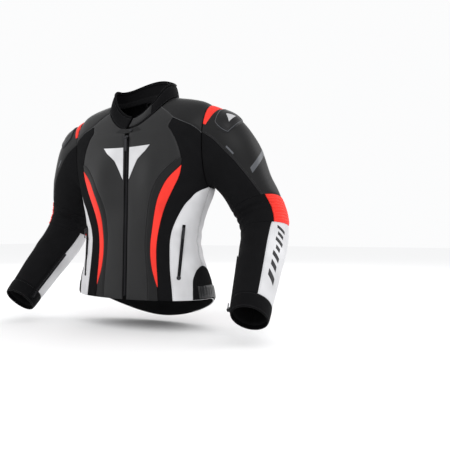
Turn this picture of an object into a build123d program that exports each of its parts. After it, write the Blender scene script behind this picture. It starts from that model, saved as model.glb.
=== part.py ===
from build123d import *
import os
import numpy as np

# A leather riding jacket, closed, in the shape that it holds on a wearer: body, collar and two
# pre-curved sleeves. Millimetres. +Z is up, the wearer faces -Y and the wearer's left is +X.
# The origin is in the neck opening, level with the seam at the nape, on the centre plane.

os.makedirs("parts", exist_ok=True)

# ---- driving dimensions ----
LEATHER = 1.6  # outer leather with its backing
STRETCH = 1.3  # woven stretch panels
LINING = 0.8  # lining cloth
LINING_DEPTH = 3.2  # from the outer surface to the lining
PAD = 3.5  # padded collar
SEAM = 0.5  # gap between neighbouring panels
ARMHOLE_X = 182.0  # plane of each armhole seam, from the centre plane
SLEEVE_GAP = 0.8  # clearance between the body and a sleeve at the armhole
ZIP_HALF = 8.0  # half the gap between the two front panels
ZIP_SLOPE = 0.0295  # the front centre line leans forward this much per millimetre down
CENTRE_Y = -79.2  # height zero of the front centre line
ZIP_TOP = -112.0  # height of the main zip's closed end
ZIP_BOTTOM = -494.0  # height of its open end
SLIDER_REST = 10.0  # from a zip's closed end to its closed slider
ELBOW = (288.0, 54.0, -313.0)
ELBOW_R = 51.0  # outer radius of the ball-shaped elbow gusset

# How far pieces sewn on top stand off the surface below them.
INSET_LIFT = 1.7  # waist inset and emblem
FOLD_LIFT = 2.0  # folded insert between the shoulder blades
STRAP_LIFT = 3.8  # waist strap
TAB_LIFT = 2.4  # collar tab
BAND_LIFT = 1.9  # red band at the shoulder
STRIPE_LIFT = 1.2  # reflective stripe
CUP_LIFT = 2.9  # rim of the hard shoulder cup
CUP_SWELL = 4.5  # middle of the cup above its rim

# Body rings from hem to neck: front height, side height, back height, half width,
# centre depth, back depth, squareness.
BODY = np.array([
    [-502, -498, -560, 184, -6, 84, 2.4],
    [-455, -455, -470, 176, -10, 76, 2.4],
    [-370, -370, -375, 156, -16, 60, 2.3],
    [-300, -305, -305, 164, -10, 72, 2.4],
    [-232, -243, -240, 181, -2, 90, 2.7],
    [-165, -165, -165, 198, 2, 100, 2.8],
    [-128, -92, -98, 200, 3, 96, 2.6],
    [-112, -42, -36, 174, 4, 78, 2.2],
    [-98, -20, -1, 90, -4, 58, 2.1],
], float)
NECK = len(BODY) - 1

# Sleeve rings from armhole to cuff: centre x, y, z, half size outward, half size forward,
# tilt of the ring (0 stands in the armhole plane, 90 lies flat), turn of the tube forward.
SLEEVE = np.array([
    [182, 8, -139, 101, 60, 0, 0],
    [211, 13, -156, 88, 62, 18, 0],
    [233, 20, -184, 74, 62, 38.5, 3],
    [248.5, 31, -217, 63, 62, 60, 8],
    [270, 45, -268, 58, 59, 66, 6],
    [288, 54, -313, 56, 56, 74, -18],
    [300, 34, -362, 53, 55, 80, -34],
    [310, -26, -428, 48, 50, 82, -42],
    [324, -109, -521, 39, 41, 83, -43],
], float)

# Seams of the left half: (ring level, degrees round from the front centre).
PRINCESS = [(0, 19.5), (1, 20), (2, 20), (2.65, 20.5), (3.35, 22), (3.85, 25), (4.3, 29), (4.65, 34.5),
            (4.85, 39)]
STRIPE_INNER = [(0.75, 27.5), (1.4, 24.5), (2.4, 26), (3.1, 27.5), (3.75, 30.5), (4.3, 35.5), (4.62, 41)]
STRIPE_OUTER = [(0.75, 28.5), (1.4, 29), (2.2, 31.5), (2.8, 33.5), (3.3, 36), (3.9, 39.5), (4.35, 42),
                (4.62, 42)]
CHEST_EDGE = [(4.62, 42), (4.98, 40), (5.43, 37), (6.05, 34), (6.75, 34.5), (7.08, 40.5)]
YOKE_FRONT = [(5.73, 57), (6, 52), (6.5, 45), (7.12, 42.5), (7.68, 50), (8, 54)]
SIDE_FRONT = [(0, 39.5), (0.6, 39.5), (1.23, 40), (1.83, 43), (2.45, 45.5), (3.03, 50), (3.55, 57),
              (3.93, 70), (4.06, 84)]
YOKE_BACK = [(5.98, 121.4), (6.43, 137.5), (6.73, 147.5), (7.2, 152), (7.6, 148), (8, 140)]
BACK_EDGE = [(5.15, 147), (5.6, 151), (6.2, 156), (6.6, 158), (7, 155)]
CENTRE_BACK = [(1.86, 150.9), (2.48, 152.2), (3.08, 152.2), (3.88, 151.8), (4.55, 150), (5.15, 147.6),
               (5.6, 151), (6.2, 156), (6.6, 158), (7, 156.5), (7.4, 152), (8, 141)]
PIPING_INNER = [(2.1, 150.8), (2.48, 151.9), (3.08, 151.9), (3.88, 151.5), (4.55, 149.6), (5.15, 146.6)]
PIPING_OUTER = [(2.1, 150.2), (2.48, 150.6), (3.08, 149.8), (3.88, 149.3), (4.48, 147.4), (5.02, 144.5)]
FLANK_BACK = [(0, 151.2), (1.1, 151.2), (2.1, 150.1), (2.48, 150.4), (3.08, 149.6), (3.88, 149.1),
              (4.48, 147.2), (5.02, 144.3)]
FLANK_TOP = [(4.03, 88), (3.98, 107), (4.17, 125.5), (4.55, 135.5), (5.02, 144.5)]
SIDE_SEAM = 88.0
LUMBAR_TOP = 1.86
ARMPIT = 4.05
SEAM_TURN = 0.6  # degrees left free where two differently drawn seams meet

# Seams of the left sleeve: (distance along, degrees from outward towards the front).
SLEEVE_FRONT = [(0, 77), (0.217, 79), (0.317, 72), (0.407, 62), (0.503, 52), (0.6, 42)]
SLEEVE_BACK = -110.0
FOREARM_FRONT = [(0.6, 40), (0.67, 42), (0.74, 51), (0.907, 51), (1, 50)]
FOREARM_BACK = -190.0
CUFF_START = 0.957
ARMHOLE_BLEND = 0.22  # how far along the sleeve the armhole's shape dies away


# ---- shape of the body and the sleeves ----
def rows_at(table, level):
    """Rows of a table at fractional row numbers, along a smooth curve through them all."""
    level = np.asarray(level, float)
    first = np.clip(np.floor(level).astype(int), 0, len(table) - 2)
    t = (level - first)[..., None]
    before, here = table[np.maximum(first - 1, 0)], table[first]
    there, after = table[first + 1], table[np.minimum(first + 2, len(table) - 1)]
    slope_here, slope_there = (there - before) / 2, (after - here) / 2
    return ((2 * t**3 - 3 * t**2 + 1) * here + (t**3 - 2 * t**2 + t) * slope_here
            + (3 * t**2 - 2 * t**3) * there + (t**3 - t**2) * slope_there)


def seam(points, level):
    """Degrees of a seam at a level, smooth through its (level, degrees) points."""
    at, angle = np.array(points, float).T
    slope = np.gradient(angle, at)
    level = np.clip(level, at[0], at[-1])
    i = np.clip(np.searchsorted(at, level) - 1, 0, len(at) - 2)
    step = at[i + 1] - at[i]
    t = (level - at[i]) / step
    return ((2 * t**3 - 3 * t**2 + 1) * angle[i] + (t**3 - 2 * t**2 + t) * step * slope[i]
            + (3 * t**2 - 2 * t**3) * angle[i + 1] + (t**3 - t**2) * step * slope[i + 1])


def body_point(angle, level):
    """Points of the body's outer surface: degrees round from the front centre, ring level."""
    angle, level = np.broadcast_arrays(np.radians(angle), np.asarray(level, float))
    row = rows_at(BODY, level)
    front_z, side_z, back_z, half_width, mid_y, back_y, square = [row[..., k] for k in range(7)]
    front_y = CENTRE_Y + ZIP_SLOPE * front_z + 4 * np.clip(level - 7, 0, 1) ** 2
    c, s = np.cos(angle), np.sin(angle)
    r = (np.abs(c) ** square + np.abs(s) ** square) ** (-1 / square)
    front = c > 0
    x = half_width * r * s
    y = mid_y - np.where(front, mid_y - front_y, back_y - mid_y) * r * c
    z = side_z + np.where(front, front_z - side_z, back_z - side_z) * c * c
    bust = 13 * np.exp(-(((np.abs(x) - 74) / 40) ** 2) - ((z + 222) / 58) ** 2) * front
    blade = 6 * np.exp(-(((np.abs(x) - 75) / 50) ** 2) - ((z + 110) / 60) ** 2) * ~front
    return np.stack([x, y - bust + blade, z], -1)


def armhole_angle(level, back=False):
    """Degrees at which the body's surface reaches the armhole plane, or 90 where it never does."""
    level = np.asarray(level, float)
    low, high = np.full(level.shape, 30.0), np.full(level.shape, 90.0)
    for _ in range(40):
        mid = (low + high) / 2
        outside = body_point(180 - mid if back else mid, level)[..., 0] > ARMHOLE_X
        high, low = np.where(outside, mid, high), np.where(outside, low, mid)
    return 180 - high if back else high


def armhole_levels():
    """Lowest and highest level at which the body reaches the armhole plane."""
    level = np.linspace(3.6, 7.9, 1200)
    reached = level[body_point(90, level)[..., 0] > ARMHOLE_X]
    return reached[0], reached[-1]


ARM_LOW, ARM_HIGH = armhole_levels()


def armhole_curve(angle):
    """Points of the armhole seam: degrees from the top towards the front."""
    level = np.linspace(ARM_LOW, ARM_HIGH, 300)
    front, back = body_point(armhole_angle(level), level), body_point(armhole_angle(level, True), level)
    ring = np.concatenate([front, back[::-1]])
    x, y, z, up, ahead = SLEEVE[0, :5]
    turn = np.degrees(np.arctan2((y - ring[:, 1]) / ahead, (ring[:, 2] - z) / up))
    order = np.argsort(turn)
    wrapped = (np.asarray(angle, float) + 180) % 360 - 180
    ring_y = np.interp(wrapped, turn[order], ring[order, 1], period=360)
    ring_z = np.interp(wrapped, turn[order], ring[order, 2], period=360)
    return np.stack([0 * ring_y + ARMHOLE_X, ring_y, ring_z], -1)


def sleeve_axes(row):
    """Outward, forward and along directions of the sleeve's rings."""
    tilt, turn = np.radians(row[..., 5]), np.radians(row[..., 6])
    zero = 0 * tilt
    out = np.stack([np.sin(tilt), zero, np.cos(tilt)], -1)
    down = np.stack([np.cos(tilt), zero, -np.sin(tilt)], -1)
    ahead = np.stack([zero, zero - 1, zero], -1)
    along = down * np.cos(turn)[..., None] - ahead * np.sin(turn)[..., None]
    forward = ahead * np.cos(turn)[..., None] + down * np.sin(turn)[..., None]
    return out, forward, along


def sleeve_point(angle, t, lift=0.0):
    """Points of the left sleeve: degrees from outward towards the front, 0 at armhole to 1 at cuff."""
    angle, t = np.broadcast_arrays(np.asarray(angle, float), np.asarray(t, float))
    row = rows_at(SLEEVE, t * (len(SLEEVE) - 1))
    lift = np.asarray(lift, float)[..., None]
    out, forward, _ = sleeve_axes(row)
    c, s = np.cos(np.radians(angle))[..., None], np.sin(np.radians(angle))[..., None]
    point = row[..., :3] + (row[..., 3:4] + lift) * c * out + (row[..., 4:5] + lift) * s * forward
    ring = SLEEVE[0, :3] + SLEEVE[0, 3] * c * [0, 0, 1] + SLEEVE[0, 4] * s * [0, -1, 0]
    blend = np.clip(1 - t / ARMHOLE_BLEND, 0, 1)
    blend = (blend * blend * (3 - 2 * blend))[..., None]
    return point + (armhole_curve(angle) - ring) * blend + [SLEEVE_GAP, 0, 0]


def offset(points, distance):
    """A grid of points moved along its own outward normals."""
    du, dv = np.gradient(points, axis=0), np.gradient(points, axis=1)
    normal = np.cross(du, dv)
    normal /= np.linalg.norm(normal, axis=-1, keepdims=True)
    return points + normal * distance


def skin(points):
    """A smooth face through a grid of points."""
    return Face.make_surface_from_array_of_points([[Vector(*p) for p in row] for row in points])


def plate(points, thickness):
    """A curved sheet: its outer face runs through the points, and ruled faces close its edges."""
    outer, inner = skin(points), skin(offset(points, -thickness))

    def apart(edge, other):
        return (edge.center() - other.center()).length + (edge @ 0 - other @ 0).length

    sides = []
    for edge in outer.edges():
        twin = min(inner.edges(), key=lambda other: apart(edge, other))
        sides.append(Face.make_surface_from_curves(edge, twin))
    return Solid(Shell([outer, inner, *sides]))


def strip(first, second, low, high, across=9, up=25):
    """Body points between two seams, from one level to another."""
    level = np.linspace(low, high, up)
    start, end = first(level), second(level)
    share = np.linspace(0, 1, across)[:, None]
    gap = np.degrees(SEAM / 2 / np.interp(level, range(NECK + 1), BODY[:, 3]))
    return body_point((start + gap) * (1 - share) + (end - gap) * share, level[None, :])


def patch(left, right, bottom, top, across=13, up=17):
    """Body points inside four edges, each a list of (level, degrees)."""
    def walk(points, count):
        points = np.array(points, float)
        step = np.linspace(0, len(points) - 1, count)
        return rows_at(points, step)
    a, b = np.linspace(0, 1, across)[:, None, None], np.linspace(0, 1, up)[None, :, None]
    west, east = walk(left, up)[None], walk(right, up)[None]
    south, north = walk(bottom, across)[:, None], walk(top, across)[:, None]
    near = (1 - b) * west[:, :1] + b * west[:, -1:]
    far = (1 - b) * east[:, :1] + b * east[:, -1:]
    corners = (1 - a) * near + a * far
    inside = (1 - a) * west + a * east + (1 - b) * south + b * north - corners
    return body_point(inside[..., 1], inside[..., 0])


def sleeve_grid(angles, low, high, around=13, along=17, lift=0.0):
    """Sleeve points between two angles and two distances along, each fixed or given per line."""
    share, run = np.linspace(0, 1, around)[:, None], np.linspace(0, 1, along)[None, :]
    start, end = (edge(run) if callable(edge) else edge for edge in angles)
    angle = start * (1 - share) + end * share
    first = low(angle) if callable(low) else low
    last = high(angle) if callable(high) else high
    return sleeve_point(angle, first * (1 - run) + last * run, lift)


def zip_edge(level):
    """Degrees of the front panel's edge beside the zip."""
    return np.degrees(np.arcsin(ZIP_HALF / rows_at(BODY, level)[..., 3]))


def front_edge(level):
    """Degrees of the centre front panel's outer edge."""
    low = np.where(level < 4.85, seam(PRINCESS, level), seam(CHEST_EDGE, level))
    return np.where(level < 7.08, low, seam(YOKE_FRONT, level) - SEAM_TURN)


def stretch_inner(level):
    """Degrees of the front stretch panel's inner edge."""
    return np.where(level < 4.62, seam(STRIPE_OUTER, level), seam(CHEST_EDGE, level)) + SEAM_TURN


def stretch_outer(level):
    """Degrees of the front stretch panel's outer edge: side panel, armhole, then yoke."""
    side, arm = seam(SIDE_FRONT, level), armhole_angle(level) - 0.3
    above = np.where(level < 5.73, np.minimum(arm, 84), seam(YOKE_FRONT, level))
    return np.where(level < 4.07, side, above)


def back_stretch_outer(level):
    """Degrees of the back stretch panel's armhole edge, then the yoke seam."""
    return np.where(level < 5.98, armhole_angle(level, True) + 0.3, seam(YOKE_BACK, level))


def back_stretch_inner(level):
    """Degrees of the back stretch panel's inner edge: flank panel, then centre back."""
    rise = np.interp(level, [3.98, 4.17, 4.55, 5.02, 5.15], [107, 125.5, 135.5, 144.5, 147])
    return np.where(level < 5.15, rise, seam(BACK_EDGE, level))


def along(points, turn=0.0):
    """A seam as an edge for strip, moved round by some degrees."""
    return lambda level: seam(points, level) + turn


def upright(degrees):
    """An edge for strip that stays at one angle."""
    return lambda level: 0 * level + degrees


def centre_y(z):
    """Depth of the front centre line at a height."""
    return CENTRE_Y + ZIP_SLOPE * z


# ---- front of the body ----
with BuildPart() as front_panel:
    add(plate(strip(zip_edge, front_edge, 0, NECK, 11, 49), LEATHER))

with BuildPart() as princess_strip:
    add(plate(strip(along(PRINCESS), along(STRIPE_INNER), 0, 4.6, 7, 33), LEATHER))

with BuildPart() as front_stripe:
    stripe_grid = strip(along(STRIPE_INNER), along(STRIPE_OUTER, -SEAM_TURN), 0.78, 4.55, 5, 33)
    add(plate(stripe_grid, LEATHER))

with BuildPart() as front_stretch:
    add(plate(strip(stretch_inner, stretch_outer, 0, ARMPIT - 0.01, 13, 33), STRETCH))
    add(plate(strip(stretch_inner, stretch_outer, ARMPIT + 0.05, 6.95, 13, 33), STRETCH))

with BuildPart() as side_panel:
    add(plate(strip(along(SIDE_FRONT), upright(SIDE_SEAM), 0, 4.0, 13, 33), LEATHER))

flank_front = [(0, 88.5), (1.35, 88.5), (2.7, 88.5), (4.0, 88.5)]
flank_hem = [(0, 88.5), (0, 110), (0, 130), (0, 151.1)]
with BuildPart() as flank_panel:
    add(plate(patch(flank_front, FLANK_BACK, flank_hem, FLANK_TOP, 17, 25), LEATHER))

inset_front = [(0.05, 58), (0.6, 60), (1.1, 64), (1.3, 72)]
inset_back = [(0.05, 112), (0.6, 112), (1.1, 110), (1.3, 104)]
inset_hem = [(0.05, 58), (0.05, 76), (0.05, 94), (0.05, 112)]
inset_top = [(1.3, 72), (1.38, 82), (1.38, 93), (1.3, 104)]
with BuildPart() as waist_inset:
    add(plate(offset(patch(inset_front, inset_back, inset_hem, inset_top), INSET_LIFT), STRETCH))

# ---- back and shoulders ----
arm_rise = np.array([5.73, 6.0, 6.3, 6.6, 6.8])
arm_fall = np.array([6.8, 6.6, 6.3, 6.0])
YOKE_GAP = 0.03  # levels between the yoke's edge and the armhole
yoke_arm = [(v + YOKE_GAP, a) for v, a in zip(arm_rise, armhole_angle(arm_rise))]
yoke_arm += [(ARM_HIGH + YOKE_GAP, 90)]
yoke_arm += [(v + YOKE_GAP, a) for v, a in zip(arm_fall, armhole_angle(arm_fall, True))]
yoke_neck = [(7.95, 54.5), (7.95, 75), (7.95, 97), (7.95, 118), (7.95, 139)]
with BuildPart() as yoke:
    add(plate(patch(YOKE_FRONT, YOKE_BACK, yoke_arm, yoke_neck, 25, 13), LEATHER))
    split(bisect_by=Plane.YZ.offset(ARMHOLE_X), keep=Keep.BOTTOM)

with BuildPart() as back_stretch:
    add(plate(strip(back_stretch_outer, back_stretch_inner, 4.35, 6.9, 11, 33), STRETCH))

with BuildPart() as back_piping:
    add(plate(strip(along(PIPING_OUTER), along(PIPING_INNER), 2.15, 4.95, 5, 25), LEATHER))


def centre_back_right(level):
    """Degrees of the centre back panel's far edge, which mirrors its near one."""
    return 360 - seam(CENTRE_BACK, level)


with BuildPart() as back_centre:
    centre_grid = strip(along(CENTRE_BACK), centre_back_right, LUMBAR_TOP + 0.02, 7.95, 33, 41)
    add(plate(centre_grid, LEATHER))

with BuildPart() as lumbar_panel:
    add(plate(strip(upright(151.7), upright(208.3), 0, LUMBAR_TOP, 17, 13), LEATHER))

FOLD_LEVELS = [5.35, 6, 7.1]
FOLD_HALF = [3, 5.5, 7]  # degrees each way from the centre line at those levels


def fold_edge(side):
    """One edge of the folded insert between the shoulder blades."""
    return lambda level: 180 + side * np.interp(level, FOLD_LEVELS, FOLD_HALF)


with BuildPart() as back_accordion:
    insert = strip(fold_edge(-1), fold_edge(1), FOLD_LEVELS[0], FOLD_LEVELS[-1], 7, 17)
    add(plate(offset(insert, FOLD_LIFT), LEATHER))

EMBLEM_LEVELS = [4.5, 5.45]
with BuildPart() as emblem_half:
    shield = strip(lambda level: zip_edge(level) + 0.4, lambda level: np.interp(level, EMBLEM_LEVELS, [6, 14.5]),
                   *EMBLEM_LEVELS, 5, 7)
    add(plate(offset(shield, INSET_LIFT), STRETCH))


# ---- collar ----
def collar_point(angle, rise):
    """Points of the collar's outer surface: degrees round from the front, 0 at the neck to 1 at the top."""
    angle, rise = np.broadcast_arrays(np.asarray(angle, float), np.asarray(rise, float))
    base = body_point(angle, NECK)
    c = np.cos(np.radians(angle))
    ahead = c > 0
    x = base[..., 0] * (1 - 0.11 * rise)
    y = base[..., 1] + np.where(ahead, 26, 8) * c * c * rise
    z = base[..., 2] + (34 + np.where(ahead, -1, 10) * c * c) * rise
    return np.stack([x, y, z], -1)


def collar_grid(start, end, low, high, around, up):
    """Collar points between two angles and two heights."""
    return collar_point(np.linspace(start, end, around)[:, None], np.linspace(low, high, up)[None, :])


COLLAR_START = 4.5  # degrees from the front centre to each end of the collar
with BuildPart() as collar:
    add(plate(collar_grid(COLLAR_START, 360 - COLLAR_START, 0.03, 0.93, 61, 7), PAD))

with BuildPart() as collar_trim:
    top_roll = collar_grid(COLLAR_START, 360 - COLLAR_START, 0.945, 1.06, 61, 3)
    add(plate(offset(top_roll, 0.3), PAD + 0.5))

with BuildPart() as collar_tab:
    add(plate(offset(collar_grid(1, 38, 0.08, 0.86, 15, 5), TAB_LIFT), 1.8))


# ---- lining and what hangs inside ----
def lining(first, second, low, high, across, up):
    """A stretch of lining under the outer surface, between two edges."""
    return plate(offset(strip(first, second, low, high, across, up), -LINING_DEPTH), LINING)


LINING_FRONT = 14  # degrees from the front centre to the lining's edge
ARM_TURN = 3  # degrees between the lining and the armhole
LINING_SPLIT = (3.9, 4.25)  # levels between which the lining is open at the armpit
LINING_TOP = 6.7


def lining_arm_front(level):
    """Degrees of the lining's edge in front of the left armhole."""
    return armhole_angle(level) - ARM_TURN


def lining_arm_back(level):
    """Degrees of the lining's edge behind the left armhole."""
    return armhole_angle(level, True) + ARM_TURN


with BuildPart() as torso_lining:
    add(lining(upright(LINING_FRONT), upright(360 - LINING_FRONT), 0.1, LINING_SPLIT[0], 81, 25))
    add(lining(upright(LINING_FRONT), lining_arm_front, LINING_SPLIT[1], LINING_TOP, 13, 21))
    add(lining(lambda level: 360 - lining_arm_front(level), upright(360 - LINING_FRONT), LINING_SPLIT[1],
               LINING_TOP, 13, 21))
    add(lining(lining_arm_back, lambda level: 360 - lining_arm_back(level), LINING_SPLIT[1],
               LINING_TOP, 33, 21))

TROUSER_DEPTH = 5.0
with BuildPart() as trouser_zip:
    add(plate(offset(strip(upright(150), upright(210), 0.35, 0.62, 17, 4), -TROUSER_DEPTH), 1.6))

LOOP_Y, LOOP_Z = 50.0, -14.0
with BuildPart() as hanger_loop:
    with BuildSketch(Plane.XZ.offset(-LOOP_Y)):
        with Locations((0, LOOP_Z)):
            SlotOverall(64, 16)
            SlotOverall(56, 9, mode=Mode.SUBTRACT)
    extrude(amount=1.5, both=True)


# ---- zips: local x across, y along towards the closed end, z outward ----
def zip_plane(closed, opened, outward, lift=0.0):
    """Plane at the closed end of a straight zip, with its length."""
    closed, opened, outward = (np.array(p, float) for p in (closed, opened, outward))
    run = (closed - opened) / np.linalg.norm(closed - opened)
    normal = outward - run * (outward @ run)
    normal /= np.linalg.norm(normal)
    origin = closed + normal * lift
    plane = Plane(origin=tuple(origin), x_dir=tuple(np.cross(run, normal)), z_dir=tuple(normal))
    return plane, float(np.linalg.norm(closed - opened))


def along_zip(plane, distance, lift=0.0):
    """The same plane, moved along the zip and outward."""
    origin = plane.origin + plane.y_dir * distance + plane.z_dir * lift
    return Plane(origin=origin, x_dir=plane.x_dir, z_dir=plane.z_dir)


PIN_Y, PIN_Z = 1.5, 4.3  # where a pull's pin crosses its slider
PIN_R = 0.8
EYE_R, EYE_HOLE_R = 2.1, 1.15


def slider_part(plane, size):
    """A zip slider with two lugs and the pin that its pull hangs on."""
    with BuildPart() as slider:
        with BuildSketch(plane.offset(0.3)):
            RectangleRounded(9.0 * size, 12.0 * size, 2.0 * size)
        extrude(amount=1.5)
        with BuildSketch(plane.offset(1.8)):
            with Locations((3.7 * size, PIN_Y), (-3.7 * size, PIN_Y)):
                Rectangle(1.1, 4.4)
        extrude(amount=3.6)
        pin_start = plane.from_local_coords((-4.0 * size, PIN_Y, PIN_Z))
        with BuildSketch(Plane(origin=pin_start, x_dir=plane.y_dir, z_dir=plane.x_dir)):
            Circle(PIN_R)
        extrude(amount=8.0 * size)
    return slider


def pull_part(plane, size, length):
    """The pull of a slider: an eye round the pin and a flat grip below it."""
    eye_start = plane.from_local_coords((-2.6 * size, PIN_Y, PIN_Z))
    eye_plane = Plane(origin=eye_start, x_dir=plane.y_dir, z_dir=plane.x_dir)
    with BuildPart() as pull:
        with BuildSketch(eye_plane):
            Circle(EYE_R)
        extrude(amount=5.2 * size)
        with BuildSketch(plane.offset(3.6)):
            with Locations((0, -length / 2)):
                RectangleRounded(5.2 * size, length, 1.2)
        extrude(amount=1.4)
        with BuildSketch(eye_plane):
            Circle(EYE_HOLE_R)
        extrude(amount=5.2 * size, mode=Mode.SUBTRACT)
    return pull


def zip_strip(plane, length, width, chain, extra=0.0):
    """A raised zip: a flat tape with a narrow row of teeth on it."""
    with BuildPart() as both:
        with BuildSketch(plane):
            with Locations((0, -length / 2)):
                RectangleRounded(width, length + extra, 1.5)
        extrude(amount=1.2)
        with BuildSketch(plane.offset(1.2)):
            with Locations((0, -length / 2)):
                Rectangle(chain, length - 4)
        extrude(amount=0.7)
    return both


def body_normal(angle, level):
    """Outward direction of the body's surface."""
    around = body_point(angle + 0.5, level) - body_point(angle - 0.5, level)
    upward = body_point(angle, level + 0.02) - body_point(angle, level - 0.02)
    normal = np.cross(around, upward)
    return normal / np.linalg.norm(normal)


main_closed, main_opened = (0, centre_y(ZIP_TOP), ZIP_TOP), (0, centre_y(ZIP_BOTTOM), ZIP_BOTTOM)
main_plane, main_length = zip_plane(main_closed, main_opened, (0, -1, 0))
with BuildPart() as zip_tape:
    with BuildSketch(main_plane.offset(-3.1)):
        with Locations((0, -main_length / 2)):
            Rectangle(30, main_length)
    extrude(amount=0.8)

with BuildPart() as zip_chain:
    with BuildSketch(main_plane.offset(-2.0)):
        with Locations((0, -main_length / 2)):
            Rectangle(6, main_length)
    extrude(amount=1.9)

main_slider_plane = along_zip(main_plane, -SLIDER_REST)
main_slider = slider_part(main_slider_plane, 1.2)
main_pull = pull_part(main_slider_plane, 1.2, 30.0)

POCKET_TOP, POCKET_BOTTOM = (58.0, 2.6), (47.0, 1.1)  # (degrees, level) of a pocket zip's ends
POCKET_LIFT = 0.9
pocket_plane, pocket_length = zip_plane(body_point(*POCKET_TOP), body_point(*POCKET_BOTTOM),
                                        body_normal(52.5, 1.85), POCKET_LIFT)
pocket_zip = zip_strip(pocket_plane, pocket_length, 13, 4, 8)
pocket_slider_plane = along_zip(pocket_plane, -SLIDER_REST, 1.9)
pocket_slider = slider_part(pocket_slider_plane, 0.8)
pocket_pull = pull_part(pocket_slider_plane, 0.8, 20.0)

# ---- waist strap ----
STRAP_LOW, STRAP_HIGH = 0.12, 0.8
STRAP_FRONT, STRAP_BACK = 66, 111
strap_grid = strip(upright(STRAP_FRONT), upright(STRAP_BACK), STRAP_LOW, STRAP_HIGH, 13, 17)
with BuildPart() as waist_tab:
    add(plate(offset(strap_grid, STRAP_LIFT), LEATHER))


# ---- sleeves ----
def upper_end(angle):
    """How far along the upper sleeve reaches: less in front of the elbow, more behind it."""
    return 0.5375 - 0.0375 * np.sin(np.radians(angle))


def forearm_start(angle):
    """Where the forearm begins: lower in front of the elbow, higher behind it."""
    return 0.69 + 0.035 * np.sin(np.radians(angle))


def band_edge(angle):
    """Outer edge of the shoulder band: a point in front, square behind."""
    taper = np.sqrt(np.clip(1 - (np.maximum(angle, 0) / 68) ** 2, 0.002, 1))
    return 0.012 + 0.044 * taper


def stripe_edge(side):
    """One edge of the slanted reflective stripe, as distance along at each angle."""
    return lambda angle: 0.385 - (50 - angle) * 0.001 + side


def sleeve_seam(points, side):
    """A seam along the sleeve, kept a little clear of its neighbour."""
    return lambda t: seam(points, t) + side


def cup_points():
    """A rounded-square grid over the shoulder, bulging outward."""
    u = np.linspace(-1, 1, 17)[:, None]
    w = np.linspace(-1, 1, 17)[None, :]
    across, down = u * np.sqrt(1 - 0.34 * w * w), w * np.sqrt(1 - 0.34 * u * u)
    bulge = (1 - u * u) * (1 - w * w)
    return sleeve_point(28 + 34 * across, 0.126 + 0.058 * down, CUP_LIFT + CUP_SWELL * bulge)


SLEEVE_TURN = 0.3  # degrees between a sleeve panel's edge and its seam
front_side = sleeve_seam(SLEEVE_FRONT, -SLEEVE_TURN)
front_other = sleeve_seam(SLEEVE_FRONT, SLEEVE_TURN)
outer_half = (SLEEVE_BACK + SLEEVE_TURN, front_side)
inner_half = (front_other, 360 + SLEEVE_BACK - SLEEVE_TURN)
with BuildPart() as upper_sleeve:
    add(plate(sleeve_grid(outer_half, 0.0, upper_end, 49, 33), LEATHER))

with BuildPart() as sleeve_stretch:
    add(plate(sleeve_grid(inner_half, 0.0, upper_end, 41, 33), STRETCH))

with BuildPart() as shoulder_band:
    add(plate(sleeve_grid((-63, 64), 0.004, band_edge, 21, 5, BAND_LIFT), LEATHER))

with BuildPart() as reflector:
    add(plate(sleeve_grid((-60, 50), stripe_edge(-0.014), stripe_edge(0.014), 25, 5, STRIPE_LIFT), 1.0))

with BuildPart() as shoulder_cup:
    add(plate(cup_points(), 2.4))

# ---- elbow: a ball-shaped gusset lets the forearm turn inside the upper sleeve ----
elbow_centre = Vector(ELBOW[0] + SLEEVE_GAP, ELBOW[1], ELBOW[2])
FOREARM_RING = 6
elbow_axis = Vector(*sleeve_axes(SLEEVE[FOREARM_RING])[2])
ELBOW_BACK = (0.48, 0.88, 0)  # outward and backward direction that the red folds face


def ball_shell(outer_radius, thickness, above, below):
    """A hollow ball round the elbow, cut off above it and below it along the forearm."""
    with BuildPart() as shell:
        with Locations(Location(elbow_centre)):
            Sphere(outer_radius)
            Sphere(outer_radius - thickness, mode=Mode.SUBTRACT)
        split(bisect_by=Plane(origin=elbow_centre - elbow_axis * above, z_dir=elbow_axis), keep=Keep.TOP)
        split(bisect_by=Plane(origin=elbow_centre + elbow_axis * below, z_dir=elbow_axis), keep=Keep.BOTTOM)
    return shell


with BuildPart() as elbow_accordion:
    add(ball_shell(ELBOW_R + 1.3, 1.0, 22, 20).part)
    behind = elbow_centre - Vector(*ELBOW_BACK) * 12
    split(bisect_by=Plane(origin=behind, z_dir=ELBOW_BACK), keep=Keep.TOP)

FOREARM_TURN = 0.4
fore_side = sleeve_seam(FOREARM_FRONT, -FOREARM_TURN)
fore_other = sleeve_seam(FOREARM_FRONT, FOREARM_TURN)
fore_outer = sleeve_grid((FOREARM_BACK + FOREARM_TURN, fore_side), forearm_start, CUFF_START, 57, 25)
with BuildPart() as forearm_panel:
    add(plate(fore_outer, LEATHER))

fore_inner = sleeve_grid((fore_other, 360 + FOREARM_BACK - FOREARM_TURN), forearm_start, CUFF_START, 33, 25)
with BuildPart() as forearm_stretch:
    add(plate(fore_inner, STRETCH))
    add(ball_shell(ELBOW_R, STRETCH, 24, 30).part)

with BuildPart() as cuff:
    add(plate(sleeve_grid((-190, 169.4), CUFF_START + 0.004, 1.0, 73, 5, 0.4), LEATHER + 0.8))

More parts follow.
